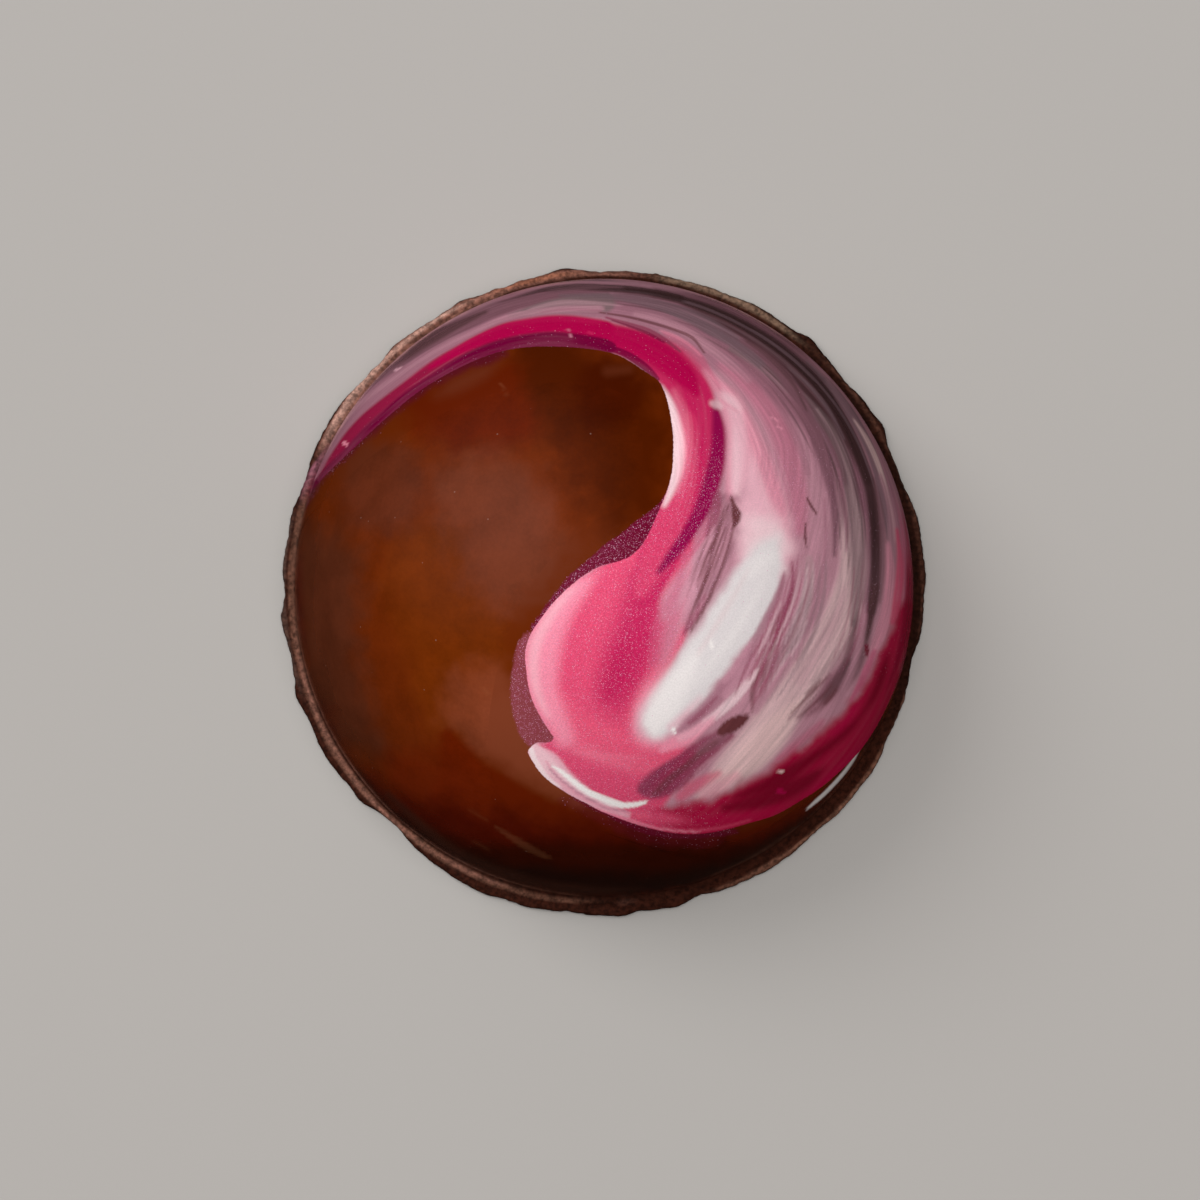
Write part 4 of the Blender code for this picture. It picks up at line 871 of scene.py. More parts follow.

# Patches in the chocolate: (colour, strength, softness in mm, bristle share, outline or stroke). Most are its own
# uneven tone; some are painted sheen and reflections, and the darkest ones along the front are painted shade.
CHOCOLATE_TONES = {name: linear(*value) for name, value in {
    "milk": (98, 35, 3),
    "warm": (106, 42, 4),
    "left": (82, 38, 21),
    "red": (92, 24, 0),
    "olive": (73, 22, 0),
    "shade": (64, 15, 0),
    "sheen_haze": (104, 48, 28),
    "dull": (92, 40, 21),
    "lip_reflection": (130, 64, 41),
    "russet": (97, 26, 0),
    "front_shade": (76, 14, 0),
    "dark": (52, 11, 0),
    "rim_shade": (34, 13, 6),
    "rim": (86, 22, 12),
    "rim_sheen": (64, 32, 22),
}.items()}
CHOCOLATE = [
    ("warm", 0.90, 1.6, 0.0, [(-9.13, 2.10), (-7.13, 2.96), (-4.50, 2.08), (-4.15, -1.38), (-4.95, -4.86), (-7.17, -6.21), (-8.91, -2.27)]),
    # painted sheen: a greyer brown where the left side reflects the soft light
    ("left", 0.90, 1.8, 0.0, [(-13.74, 2.62), (-11.43, 2.34), (-10.63, 1.23), (-10.82, -2.29), (-10.50, -4.94), (-9.68, -7.16), (-12.23, -6.78), (-13.79, -2.33)]),
    ("red", 0.95, 1.6, 0.0, [(-9.02, 8.10), (-5.90, 9.60), (-1.93, 9.99), (-2.56, 7.09), (-4.52, 6.00), (-7.62, 6.48)]),
    ("olive", 1.0, 2.4, 0.0, [(-1.93, 9.76), (0.26, 10.21), (2.01, 9.09), (2.95, 5.99), (2.59, 3.59), (0.47, 2.29), (-1.04, 4.24), (-1.82, 6.86)]),
    ("olive", 1.0, 1.5, 0.0, [(-3.61, 10.93), (-1.27, 10.90), (-0.61, 8.19), (-1.04, 6.20), (-2.43, 6.42), (-3.23, 8.20)]),
    ("shade", 0.80, 1.4, 0.0, [(-1.05, 9.31), (0.92, 9.71), (1.79, 8.41), (0.48, 6.95), (-1.13, 7.39)]),
    # painted sheen: greyer, hazier patches on the left and the back, where the chocolate reflects the soft light
    ("sheen_haze", 0.95, 1.9, 0.0, [(-7.59, 4.71), (-4.96, 5.78), (-2.99, 4.68), (-1.90, 2.50), (-2.11, 0.56), (-3.85, -0.95), (-5.59, -0.09), (-6.69, 2.52)]),
    ("dull", 0.90, 1.5, 0.0, [(-11.53, 5.92), (-9.20, 6.43), (-7.81, 4.71), (-8.46, 2.75), (-11.44, 3.00)]),
    ("sheen_haze", 0.55, 0.8, 0.0, [(-7.30, 8.45, 0.36), (-6.33, 8.97, 0.68), (-5.23, 9.49, 0.54), (-4.57, 9.89, 0.18)]),
    ("sheen_haze", 0.40, 0.5, 0.0, [(0.17, 9.44, 0.45), (1.05, 9.53, 0.36)]),
    ("warm", 0.70, 1.2, 0.0, [(-7.58, -3.13), (-5.81, -3.12), (-5.40, -6.40), (-6.73, -6.42), (-7.82, -5.42)]),
    # painted reflection: the paler patch that the light makes left of the lip
    ("lip_reflection", 0.60, 1.6, 0.0, [(-6.88, -4.44), (-5.90, -3.47), (-4.50, -3.46), (-3.29, -4.85), (-2.43, -6.82), (-1.05, -9.26), (-2.27, -8.82), (-4.54, -7.77), (-5.93, -6.72), (-6.81, -5.85)]),
    ("lip_reflection", 0.50, 1.3, 0.0, [(-5.48, -5.13), (-4.29, -4.60), (-3.47, -5.81), (-2.44, -7.66), (-1.05, -9.44), (-2.45, -9.00), (-4.28, -7.94), (-5.41, -6.98)]),
    ("russet", 1.0, 0.50, 0.0, [(-6.90, -6.11), (-5.94, -6.99), (-4.81, -7.99), (-3.06, -8.96), (-1.05, -9.76), (1.58, -10.63), (4.24, -11.04), (6.92, -10.56), (8.73, -9.71),
                                (11.02, -7.93), (12.66, -5.95), (11.01, -8.63), (6.87, -12.18), (1.51, -13.90), (-5.16, -13.00), (-8.04, -11.44), (-7.20, -7.99)]),
    ("russet", 0.80, 1.6, 0.0, [(-9.96, -8.09), (-7.63, -7.11), (-5.86, -7.52), (-3.68, -9.28), (-6.37, -10.26), (-9.13, -9.94)]),
    # painted shade: darker and darker towards the front rim, in three steps
    ("front_shade", 1.0, 1.9, 0.0, [(-12.89, -5.42), (-11.47, -8.00), (-8.61, -9.19), (-5.90, -9.60), (-3.69, -10.10), (-1.05, -10.26), (1.58, -10.44), (5.13, -10.88), (8.31, -10.46), (11.02, -8.60),
                             (12.65, -5.96), (11.08, -8.54), (6.71, -12.27), (1.49, -13.91), (-5.03, -13.05), (-10.29, -9.47)]),
    ("dark", 0.95, 0.9, 0.0, [(-11.31, -8.23), (-8.70, -10.49), (-5.50, -11.36), (-1.94, -11.19), (1.59, -11.28), (5.15, -11.45), (8.33, -10.66), (11.07, -8.55), (12.60, -6.06),
                              (10.65, -9.07), (6.71, -12.27), (1.49, -13.91), (-5.03, -13.05), (-10.29, -9.47)]),
    ("rim_shade", 0.95, 0.9, 0.0, [(-10.23, -9.53), (-7.84, -11.44), (-5.09, -12.23), (-1.95, -12.42), (1.60, -12.61), (5.18, -12.34), (8.80, -10.87), (11.19, -8.39), (12.61, -6.05),
                               (10.62, -9.10), (6.63, -12.31), (1.46, -13.91), (-4.96, -13.08), (-9.73, -10.04)]),
    # painted sheen: paler, greyer lines along the front rim and the left rim
    ("rim_sheen", 0.75, 0.45, 0.0, [(-9.65, -9.25, 0.27), (-6.81, -11.74, 0.50), (-5.20, -12.55, 0.54), (-3.50, -13.13, 0.54), (-1.75, -13.44, 0.50), (0.00, -13.58, 0.36), (1.61, -13.49, 0.18)]),
    ("rim", 0.60, 0.5, 0.0, [(-13.78, 2.39, 0.27), (-13.75, 0.36, 0.41), (-13.66, -1.44, 0.41), (-13.40, -3.24, 0.27)]),
]

# The foot's paler edge, partly its own broken colour and partly a painted highlight where it catches the light, its
# chips, and a painted shadow on its right: (colour, strength, softness in mm, [(degrees, radius in mm, width in mm),
# ...]).
FOOT_TONES = {name: linear(*value) for name, value in {
    "dark": (54, 26, 18),
    "shadow": (36, 19, 14),
    "mauve": (150, 92, 110),
    "berry": (118, 26, 60),
    "brown": (96, 62, 50),
    "tan": (128, 88, 72),
    "dusty": (138, 98, 88),
    "greyed": (104, 84, 76),
    "sandy": (138, 112, 94),
    "peachy": (192, 152, 138),
    "pinkish": (152, 104, 90),
    "orange": (158, 96, 66),
    "bright": (186, 142, 116),
}.items()}
FOOT_MARKS = [
    ("shadow", 0.85, 0.30, [(-28, 14.40, 0.40), (-14, 14.40, 0.70), (0, 14.40, 0.80), (20, 14.40, 0.80), (36, 14.40, 0.80), (48, 14.40, 0.60), (58, 14.40, 0.30)]),
    ("tan", 0.80, 0.10, [(286, 14.62, 0.10), (296, 14.68, 0.24), (308, 14.72, 0.34), (320, 14.76, 0.40), (333, 14.72, 0.38), (344, 14.60, 0.22), (350, 14.52, 0.08)]),
    ("brown", 0.55, 0.12, [(-12, 14.50, 0.10), (0, 14.52, 0.20), (14, 14.46, 0.20), (26, 14.40, 0.18), (42, 14.40, 0.20), (52, 14.40, 0.24)]),
    ("sandy", 0.80, 0.12, [(48, 14.34, 0.14), (58, 14.36, 0.28), (66, 14.38, 0.34), (76, 14.36, 0.36), (84, 14.36, 0.30)]),
    ("pinkish", 0.80, 0.12, [(80, 14.36, 0.24), (92, 14.36, 0.34), (104, 14.34, 0.40), (116, 14.30, 0.50), (128, 14.28, 0.54), (140, 14.28, 0.54), (150, 14.28, 0.48), (158, 14.28, 0.30)]),
    # painted highlight: the foot's top edge catching the light at the back left
    ("peachy", 0.85, 0.12, [(112, 14.38, 0.08), (122, 14.38, 0.18), (132, 14.36, 0.24), (142, 14.34, 0.34), (149, 14.32, 0.32), (156, 14.30, 0.16)]),
    ("orange", 0.45, 0.12, [(92, 14.36, 0.16), (100, 14.36, 0.24), (108, 14.36, 0.22), (114, 14.34, 0.12)]),
    ("tan", 0.80, 0.12, [(152, 14.24, 0.16), (162, 14.22, 0.26), (172, 14.20, 0.26), (180, 14.20, 0.26), (190, 14.22, 0.28), (200, 14.24, 0.28), (210, 14.28, 0.28),
                         (220, 14.28, 0.28), (230, 14.26, 0.28), (240, 14.26, 0.28), (250, 14.28, 0.26), (260, 14.28, 0.22), (272, 14.26, 0.14)]),
    ("pinkish", 0.70, 0.08, [(184, 14.18, 0.08), (194, 14.22, 0.14), (206, 14.26, 0.16), (220, 14.28, 0.16), (234, 14.26, 0.16), (246, 14.28, 0.14), (256, 14.28, 0.08)]),
    ("peachy", 0.80, 0.10, [(220.8, 14.28, 0.16), (222.2, 14.30, 0.30), (223.8, 14.28, 0.16)]),
    ("greyed", 0.55, 0.12, [(164, 14.50, 0.10), (176, 14.60, 0.24), (190, 14.60, 0.24), (203, 14.54, 0.12)]),
    ("bright", 0.90, 0.10, [(177.2, 14.40, 0.26), (178.0, 14.42, 0.42), (178.9, 14.40, 0.26)]),
    ("bright", 1.00, 0.10, [(184.7, 14.42, 0.28), (185.6, 14.44, 0.52), (186.5, 14.42, 0.28)]),
    ("orange", 0.95, 0.10, [(167.8, 14.18, 0.20), (168.8, 14.20, 0.36), (169.8, 14.18, 0.20)]),
    ("tan", 0.85, 0.10, [(192.4, 14.30, 0.20), (193.0, 14.32, 0.30), (193.8, 14.30, 0.20)]),
    ("tan", 0.85, 0.10, [(197.8, 14.32, 0.18), (198.6, 14.34, 0.28), (199.4, 14.30, 0.18)]),
    ("tan", 0.85, 0.10, [(201.6, 14.32, 0.18), (202.4, 14.34, 0.28), (203.3, 14.32, 0.18)]),
    ("tan", 0.85, 0.10, [(205.0, 14.30, 0.18), (205.8, 14.32, 0.28), (206.6, 14.30, 0.18)]),
    ("tan", 0.80, 0.10, [(210.0, 14.32, 0.16), (210.8, 14.34, 0.26), (211.6, 14.32, 0.16)]),
    ("pinkish", 0.95, 0.10, [(241.6, 14.28, 0.24), (242.7, 14.32, 0.46), (243.8, 14.28, 0.24)]),
    ("pinkish", 0.85, 0.10, [(245.9, 14.28, 0.20), (246.8, 14.30, 0.34), (247.7, 14.28, 0.20)]),
    ("pinkish", 0.85, 0.10, [(250.3, 14.30, 0.20), (251.2, 14.32, 0.36), (252.1, 14.30, 0.20)]),
    ("pinkish", 0.80, 0.10, [(255.4, 14.30, 0.18), (256.1, 14.32, 0.32), (256.8, 14.30, 0.18)]),
    ("pinkish", 0.80, 0.10, [(258.9, 14.28, 0.18), (259.6, 14.30, 0.32), (260.3, 14.28, 0.18)]),
    ("pinkish", 0.80, 0.10, [(270.6, 14.26, 0.18), (272.4, 14.28, 0.28), (275.2, 14.28, 0.28), (277.2, 14.26, 0.16)]),
    ("pinkish", 0.75, 0.10, [(284.4, 14.52, 0.18), (285.0, 14.54, 0.28), (285.8, 14.52, 0.18)]),
    ("pinkish", 0.75, 0.10, [(287.6, 14.52, 0.18), (288.3, 14.54, 0.30), (289.0, 14.52, 0.18)]),
    ("orange", 0.90, 0.10, [(49.4, 14.42, 0.20), (50.2, 14.45, 0.36), (51.0, 14.42, 0.20)]),
    ("brown", 0.90, 0.10, [(28.6, 14.34, 0.20), (29.5, 14.36, 0.34), (30.4, 14.34, 0.20)]),
    ("mauve", 0.90, 0.10, [(150, 14.04, 0.10), (154, 14.10, 0.20), (158, 14.22, 0.34), (162, 14.30, 0.36), (166, 14.30, 0.16)]),
    ("berry", 0.90, 0.10, [(154, 14.00, 0.08), (158, 14.06, 0.20), (161, 14.10, 0.24), (164, 14.14, 0.18), (166, 14.16, 0.08)]),
]

# Where the brush's own fine streaks fade: the blob and the smear.
CALM = [(2.94, 3.81), (2.07, 2.07), (-0.17, 0.95), (-1.90, -0.09), (-3.11, -1.60), (-3.46, -3.11), (-3.12, -5.07), (-2.26, -6.51), (-3.31, -7.05), (-2.57, -8.60), (-0.18, -9.80),
        (2.02, -10.26), (4.23, -10.48), (6.90, -9.91), (9.60, -8.54), (11.43, -6.79), (12.33, -5.00), (11.89, -4.08), (9.97, -6.18), (7.74, -7.92), (4.21, -9.29), (2.44, -7.93), (4.17, -6.17),
        (6.12, -3.12), (8.10, 0.35), (8.11, 2.96), (6.79, 4.70), (5.52, 8.23), (4.98, 8.22), (5.21, 4.69), (5.37, 2.95), (5.67, 1.21), (4.15, -1.38), (3.71, -0.09), (3.89, 2.51)]


# ------------------------------------------------------------------ how strokes and fields are laid on
def nearest(place, line, widths=None):
    """Distance from each place to a line of points, the side it lies on, the length along, and the width there."""
    best = np.full(len(place), 1e9)
    side = np.ones(len(place))
    length = np.zeros(len(place))
    width = np.zeros(len(place))
    gone = 0.0
    for k in range(len(line) - 1):
        a, ab = line[k], line[k + 1] - line[k]
        size = float(np.hypot(ab[0], ab[1]))
        if size < 1e-9:
            continue
        x, y = place[:, 0] - a[0], place[:, 1] - a[1]
        t = np.clip((x * ab[0] + y * ab[1]) / size**2, 0.0, 1.0)
        d = (x - t * ab[0]) ** 2 + (y - t * ab[1]) ** 2
        closer = d < best
        best = np.where(closer, d, best)
        side = np.where(closer, np.sign(ab[0] * y - ab[1] * x + 1e-12), side)
        length = np.where(closer, gone + t * size, length)
        if widths is not None:
            width = np.where(closer, widths[k] + t * (widths[k + 1] - widths[k]), width)
        gone += size
    return np.sqrt(best), side, length, width


def line_length(points):
    p = np.asarray(points, float)[:, :2]
    return float(np.linalg.norm(np.diff(p, axis=0), axis=1).sum())


def inside(place, ring):
    """Which places lie within a closed ring of points."""
    odd = np.zeros(len(place), bool)
    x, y = place[:, 0], place[:, 1]
    for a, b in zip(ring, np.roll(ring, -1, axis=0)):
        if a[1] == b[1]:
            continue
        crosses = ((a[1] > y) != (b[1] > y)) & (x < (b[0] - a[0]) * (y - a[1]) / (b[1] - a[1]) + a[0])
        odd ^= crosses
    return odd


def ring_distance(place, ring):
    """Signed distance to a closed ring of points: positive within it."""
    d, _, _, _ = nearest(place, np.concatenate([ring, ring[:1]]))
    return np.where(inside(place, ring), d, -d)


def layer(place, flow, points, soft, bristle, seed):
    """Indices of the places that a stroke or a field reaches, and how strongly it covers each."""
    points = np.asarray(points, float)
    reach = soft + (0.5 * points[:, 2].max() if points.shape[1] == 3 else 0.3)
    low, high = points[:, :2].min(0) - reach - 0.2, points[:, :2].max(0) + reach + 0.2
    at = np.nonzero(np.all((place > low) & (place < high), axis=1))[0]
    if len(at) == 0:
        return at, np.zeros(0)
    here = place[at]
    if points.shape[1] == 3:
        line = spline(points, max(4, int(line_length(points) / 0.30) + 2))
        d, side, length, width = nearest(here, line[:, :2], line[:, 2])
        d_side = d * side
        ragged = 1.0 + 0.25 * bristle * noise2(length * 1.3 + seed, np.full(len(at), seed * 3.1))
        half = 0.5 * width * ragged
        cover = smooth(-0.5, 0.5, (half - d) / max(soft, 0.02))
        cover *= np.clip(half / (0.35 * soft + 1e-6), 0.0, 1.0)
        # On the dome's steep side, strokes begin and end softly.
        steep = smooth(13.5, 13.8, np.hypot(here[:, 0], here[:, 1]))
        end = np.minimum(length, float(length.max()) - length)
        cover *= 1.0 - steep * (1.0 - smooth(0.0, 2.2, end))
        lengthwise, crosswise = length, d_side
    else:
        ring = spline(points, max(16, int(line_length(points) / 0.30)), closed=True)
        d = ring_distance(here, ring)
        lengthwise, crosswise = flow[at, 0], flow[at, 1]
        wobble = 0.3 * soft * fractal(here[:, 0] * 1.7 + seed, here[:, 1] * 1.7, seed, 3)
        cover = smooth(-0.5, 0.5, (d + wobble) / max(soft, 0.02))
    if bristle > 0.0:
        hair = 0.6 * noise2(lengthwise * 0.35 + 7.3 * seed, crosswise * 7.0 + seed, seed)
        hair = hair + 0.4 * noise2(lengthwise * 0.8 + 3.1 * seed, crosswise * 16.0, seed + 5)
        cover = cover * (1.0 - bristle * np.clip(0.5 + 0.9 * hair, 0.0, 1.0))
    return at, cover


def lay(colour, place, flow, table, palette, seed):
    """Lays a table of strokes and fields over the colours so far."""
    for k, (name, strength, soft, bristle, points) in enumerate(table):
        at, cover = layer(place, flow, points, soft, bristle, seed + k)
        share = (strength * cover)[:, None]
        colour[at] = colour[at] * (1.0 - share) + palette[name] * share
    return colour


def hairs(table, seed):
    """Strokes for single bristles: each entry is a band that several fine lines run along, each with its own start, end and place."""
    strokes = []
    for k, (name, strength, soft, count, thick, band) in enumerate(table):
        band = np.asarray(band, float)
        line = spline(band, max(8, int(line_length(band) / 0.25)))
        along = np.gradient(line[:, :2], axis=0)
        along /= np.linalg.norm(along, axis=1)[:, None]
        across = np.stack([-along[:, 1], along[:, 0]], -1)
        for j in range(count):
            a, b, c, d = (float(hash01(np.array([seed + k]), np.array([j]), m)[0]) for m in (1, 2, 3, 4))
            offset = (2.0 * (j + 0.15 + 0.7 * a) / count - 1.0)
            first = int(0.45 * b * len(line))
            last = int((1.0 - 0.45 * c) * len(line))
            if last - first < 4:
                continue
            part = np.arange(first, last)
            taper = np.sin(math.pi * (part - first + 0.5) / (last - first)) ** 0.5
            path = line[part, :2] + across[part] * (0.5 * line[part, 2:3] * offset)
            width = thick * (0.6 + 0.8 * d) * taper
            keep = np.unique(np.round(np.linspace(0, len(part) - 1, max(3, len(part) // 3))).astype(int))
            strokes.append((name, strength * (0.6 + 0.4 * d), soft, 0.0, np.concatenate([path, width[:, None]], 1)[keep]))
    return strokes


def outline_ring():
    line = spline(OUTLINE, 420)
    # At its tip the colouring runs off the dome, and so does its outline.
    size = np.hypot(line[:40, 0], line[:40, 1])
    line[:40] *= np.where(size > 13.96, 14.5 / size, 1.0)[:, None]
    first = math.atan2(line[0, 1], line[0, 0])
    last = math.atan2(line[-1, 1], line[-1, 0])
    a = np.linspace(last, first, 60)
    beyond = 14.7 * np.stack([np.cos(a), np.sin(a)], -1)      # past the dome's widest ring
    return np.concatenate([line, beyond])


def chocolate_colour(place, flow):
    colour = np.tile(CHOCOLATE_TONES["milk"], (len(place), 1))
    colour = lay(colour, place, flow, CHOCOLATE, CHOCOLATE_TONES, 500)
    return lay(colour, place, flow, [(name, strength, 0.09, 0.0, points) for name, strength, points in SCUFFS_AND_GLINT], PALETTE, 700)


def foot_colour(place):
    """The foot: nearly as dark as the dome, with a thin paler line and chips where its edge broke; the line is partly a
    painted highlight, and a painted shadow darkens its right side.
    """
    colour = np.tile(FOOT_TONES["dark"], (len(place), 1))
    bands = [(name, strength, soft, 0.5, [(r * math.cos(math.radians(a)), r * math.sin(math.radians(a)), w) for a, r, w in arcs])
             for name, strength, soft, arcs in FOOT_MARKS]
    return lay(colour, place, place, bands, FOOT_TONES, 820)


def paint(place, flow):
    """Everything about the colouring at plan places (mm) with flow places (mm along and across the brush)."""
    edge = ring_distance(place, outline_ring())
    below = chocolate_colour(place, flow)
    glaze = np.zeros(len(place))
    for k, (name, strength, soft, points) in enumerate(GLAZE):
        at, cover = layer(place, flow, points, soft, 0.0, 600 + k)
        share = strength * cover
        below[at] = below[at] * (1.0 - share[:, None]) + PALETTE[name] * share[:, None]
        glaze[at] = np.maximum(glaze[at], share)
    tint = np.tile(PALETTE["lilac"], (len(place), 1))
    tint = lay(tint, place, flow, SWEEP, PALETTE, 0)
    ring = [(name, strength, soft, bristle,
             [(r * math.cos(math.radians(a)), r * math.sin(math.radians(a)), w) for a, r, w in arcs])
            for name, strength, soft, bristle, arcs in RING_STREAKS]
    tint = lay(tint, place, flow, ring, PALETTE, 200)
    rings = [(name, strength, soft, count, thick, [(r * math.cos(math.radians(a)), r * math.sin(math.radians(a)), w) for a, r, w in arcs])
             for name, strength, soft, count, thick, arcs in RING_HAIRS]
    tint = lay(tint, place, flow, hairs(HAIRS, 900) + hairs(rings, 950), PALETTE, 250)
    tint = lay(tint, place, flow, FRONT, PALETTE, 300)
    tint = lay(tint, place, flow, [(name, 0.9, 0.06, 0.0, points) for name, points in SPECKS], PALETTE, 400)
    return {"edge": edge, "below": below, "glaze": glaze, "tint": tint}


# ------------------------------------------------------------------ materials
class Nodes:
    """A short way to write node trees."""

    def __init__(self, name):
        self.material = bpy.data.materials.new(name)
        self.material.use_nodes = True
        self.tree = self.material.node_tree
        self.shader = self.tree.nodes["Principled BSDF"]

    def put(self, socket, value):
        if isinstance(value, bpy.types.NodeSocket):
            self.tree.links.new(value, socket)
        elif isinstance(value, (tuple, list, np.ndarray)):
            socket.default_value = [float(v) for v in value] + ([1.0] if len(value) == 3 and socket.type == "RGBA" else [])
        else:
            socket.default_value = value

    def attribute(self, name, output="Fac"):
        node = self.tree.nodes.new("ShaderNodeAttribute")
        node.attribute_name = name
        return node.outputs[output]

    def math(self, operation, *values, clamp=False):
        node = self.tree.nodes.new("ShaderNodeMath")
        node.operation = operation
        node.use_clamp = clamp
        for socket, value in zip(node.inputs, values):
            self.put(socket, value)
        return node.outputs[0]

    def ramp(self, value, from_min, from_max, to_min=0.0, to_max=1.0, kind="SMOOTHSTEP"):
        node = self.tree.nodes.new("ShaderNodeMapRange")
        node.interpolation_type = kind
        node.clamp = True
        for socket, number in zip(("Value", "From Min", "From Max", "To Min", "To Max"), (value, from_min, from_max, to_min, to_max)):
            self.put(node.inputs[socket], number)
        return node.outputs["Result"]

    def mix(self, factor, a, b, blend="MIX"):
        node = self.tree.nodes.new("ShaderNodeMix")
        node.data_type = "RGBA"
        node.blend_type = blend
        node.clamp_result = False
        self.put(node.inputs["Factor"], factor)
        self.put([s for s in node.inputs if s.name == "A" and s.type == "RGBA"][0], a)
        self.put([s for s in node.inputs if s.name == "B" and s.type == "RGBA"][0], b)
        return [s for s in node.outputs if s.type == "RGBA"][0]

    def vector(self, operation, a, b=None, output=0):
        node = self.tree.nodes.new("ShaderNodeVectorMath")
        node.operation = operation
        self.put(node.inputs[0], a)
        if b is not None:
            self.put(node.inputs[1], b)
        return node.outputs[output]

    def place(self):
        node = self.tree.nodes.new("ShaderNodeTexCoord")
        return self.millimetres(node.outputs["Object"])

    def millimetres(self, socket):
        node = self.tree.nodes.new("ShaderNodeVectorMath")
        node.operation = "SCALE"
        self.put(node.inputs[0], socket)
        node.inputs["Scale"].default_value = 1000.0
        return node.outputs[0]

    def noise(self, place, scale, detail=2.0, roughness=0.5, output="Fac"):
        node = self.tree.nodes.new("ShaderNodeTexNoise")
        self.put(node.inputs["Vector"], place)
        node.inputs["Scale"].default_value = scale
        node.inputs["Detail"].default_value = detail
        node.inputs["Roughness"].default_value = roughness
        return node.outputs[output]

    def cells(self, place, scale, output="Distance", randomness=1.0):
        node = self.tree.nodes.new("ShaderNodeTexVoronoi")
        self.put(node.inputs["Vector"], place)
        node.inputs["Scale"].default_value = scale
        node.inputs["Randomness"].default_value = randomness
        return node

    def bump(self, height, distance, strength=1.0, normal=None):
        node = self.tree.nodes.new("ShaderNodeBump")
        node.inputs["Strength"].default_value = strength
        node.inputs["Distance"].default_value = distance
        self.put(node.inputs["Height"], height)
        if normal is not None:
            self.put(node.inputs["Normal"], normal)
        return node.outputs[0]

    def combine(self, value):
        """The same number in red, green and blue."""
        node = self.tree.nodes.new("ShaderNodeCombineColor")
        for socket in node.inputs:
            self.put(socket, value)
        return node.outputs[0]

    def mix_number(self, factor, a, b):
        node = self.tree.nodes.new("ShaderNodeMix")
        node.data_type = "FLOAT"
        self.put(node.inputs["Factor"], factor)
        self.put([s for s in node.inputs if s.name == "A" and s.type == "VALUE"][0], a)
        self.put([s for s in node.inputs if s.name == "B" and s.type == "VALUE"][0], b)
        return [s for s in node.outputs if s.type == "VALUE"][0]

    def split(self, colour):
        node = self.tree.nodes.new("ShaderNodeSeparateColor")
        self.put(node.inputs[0], colour)
        return node.outputs


GLOSS_LEVEL = 0.12


def chocolate_material():
    """Tempered milk chocolate: glossy from the mould, duller and paler on the scraped foot and underside."""
    n = Nodes("chocolate_body")
    place = n.place()
    base = n.attribute("below", "Color")
    cloud = n.noise(place, 0.55, 3.0, 0.55)
    grain = n.noise(place, 6.0, 3.0, 0.6)
    shade = n.math("ADD", n.ramp(cloud, 0.3, 0.7, 0.86, 1.12), n.ramp(grain, 0.3, 0.7, -0.05, 0.05))
    dome = n.mix(1.0, base, n.combine(shade), "MULTIPLY")
    # dust: a few pale specks
    dust = n.cells(place, 1.1)
    speck = n.ramp(dust.outputs["Distance"], 0.03, 0.05, 0.35, 0.0)
    dome = n.mix(speck, dome, (0.35, 0.22, 0.18))

    foot = n.attribute("foot")
    crumb = n.noise(place, 4.5, 4.0, 0.65)
    broken = n.mix(1.0, base, n.combine(n.ramp(crumb, 0.30, 0.72, 0.45, 1.50)), "MULTIPLY")
    under = n.attribute("under")
    scrape = n.noise(n.vector("MULTIPLY", place, (0.25, 3.2, 1.0)), 1.0, 4.0, 0.6)
    base_under = n.mix(n.ramp(scrape, 0.3, 0.7), (0.060, 0.022, 0.010), (0.105, 0.042, 0.022))
    colour = n.mix(foot, dome, n.mix(under, broken, base_under))
    n.put(n.shader.inputs["Base Color"], colour)
    gloss = n.ramp(cloud, 0.3, 0.7, 0.17, 0.25)
    rough = n.ramp(crumb, 0.3, 0.7, 0.46, 0.66)
    n.put(n.shader.inputs["Roughness"], n.mix_number(foot, gloss, rough))
    n.shader.inputs["Specular IOR Level"].default_value = GLOSS_LEVEL
    height = n.math("MULTIPLY", n.math("ADD", crumb, n.math("MULTIPLY", scrape, under)), foot)
    n.put(n.shader.inputs["Normal"], n.bump(height, 0.00006, 0.9))
    return n.material


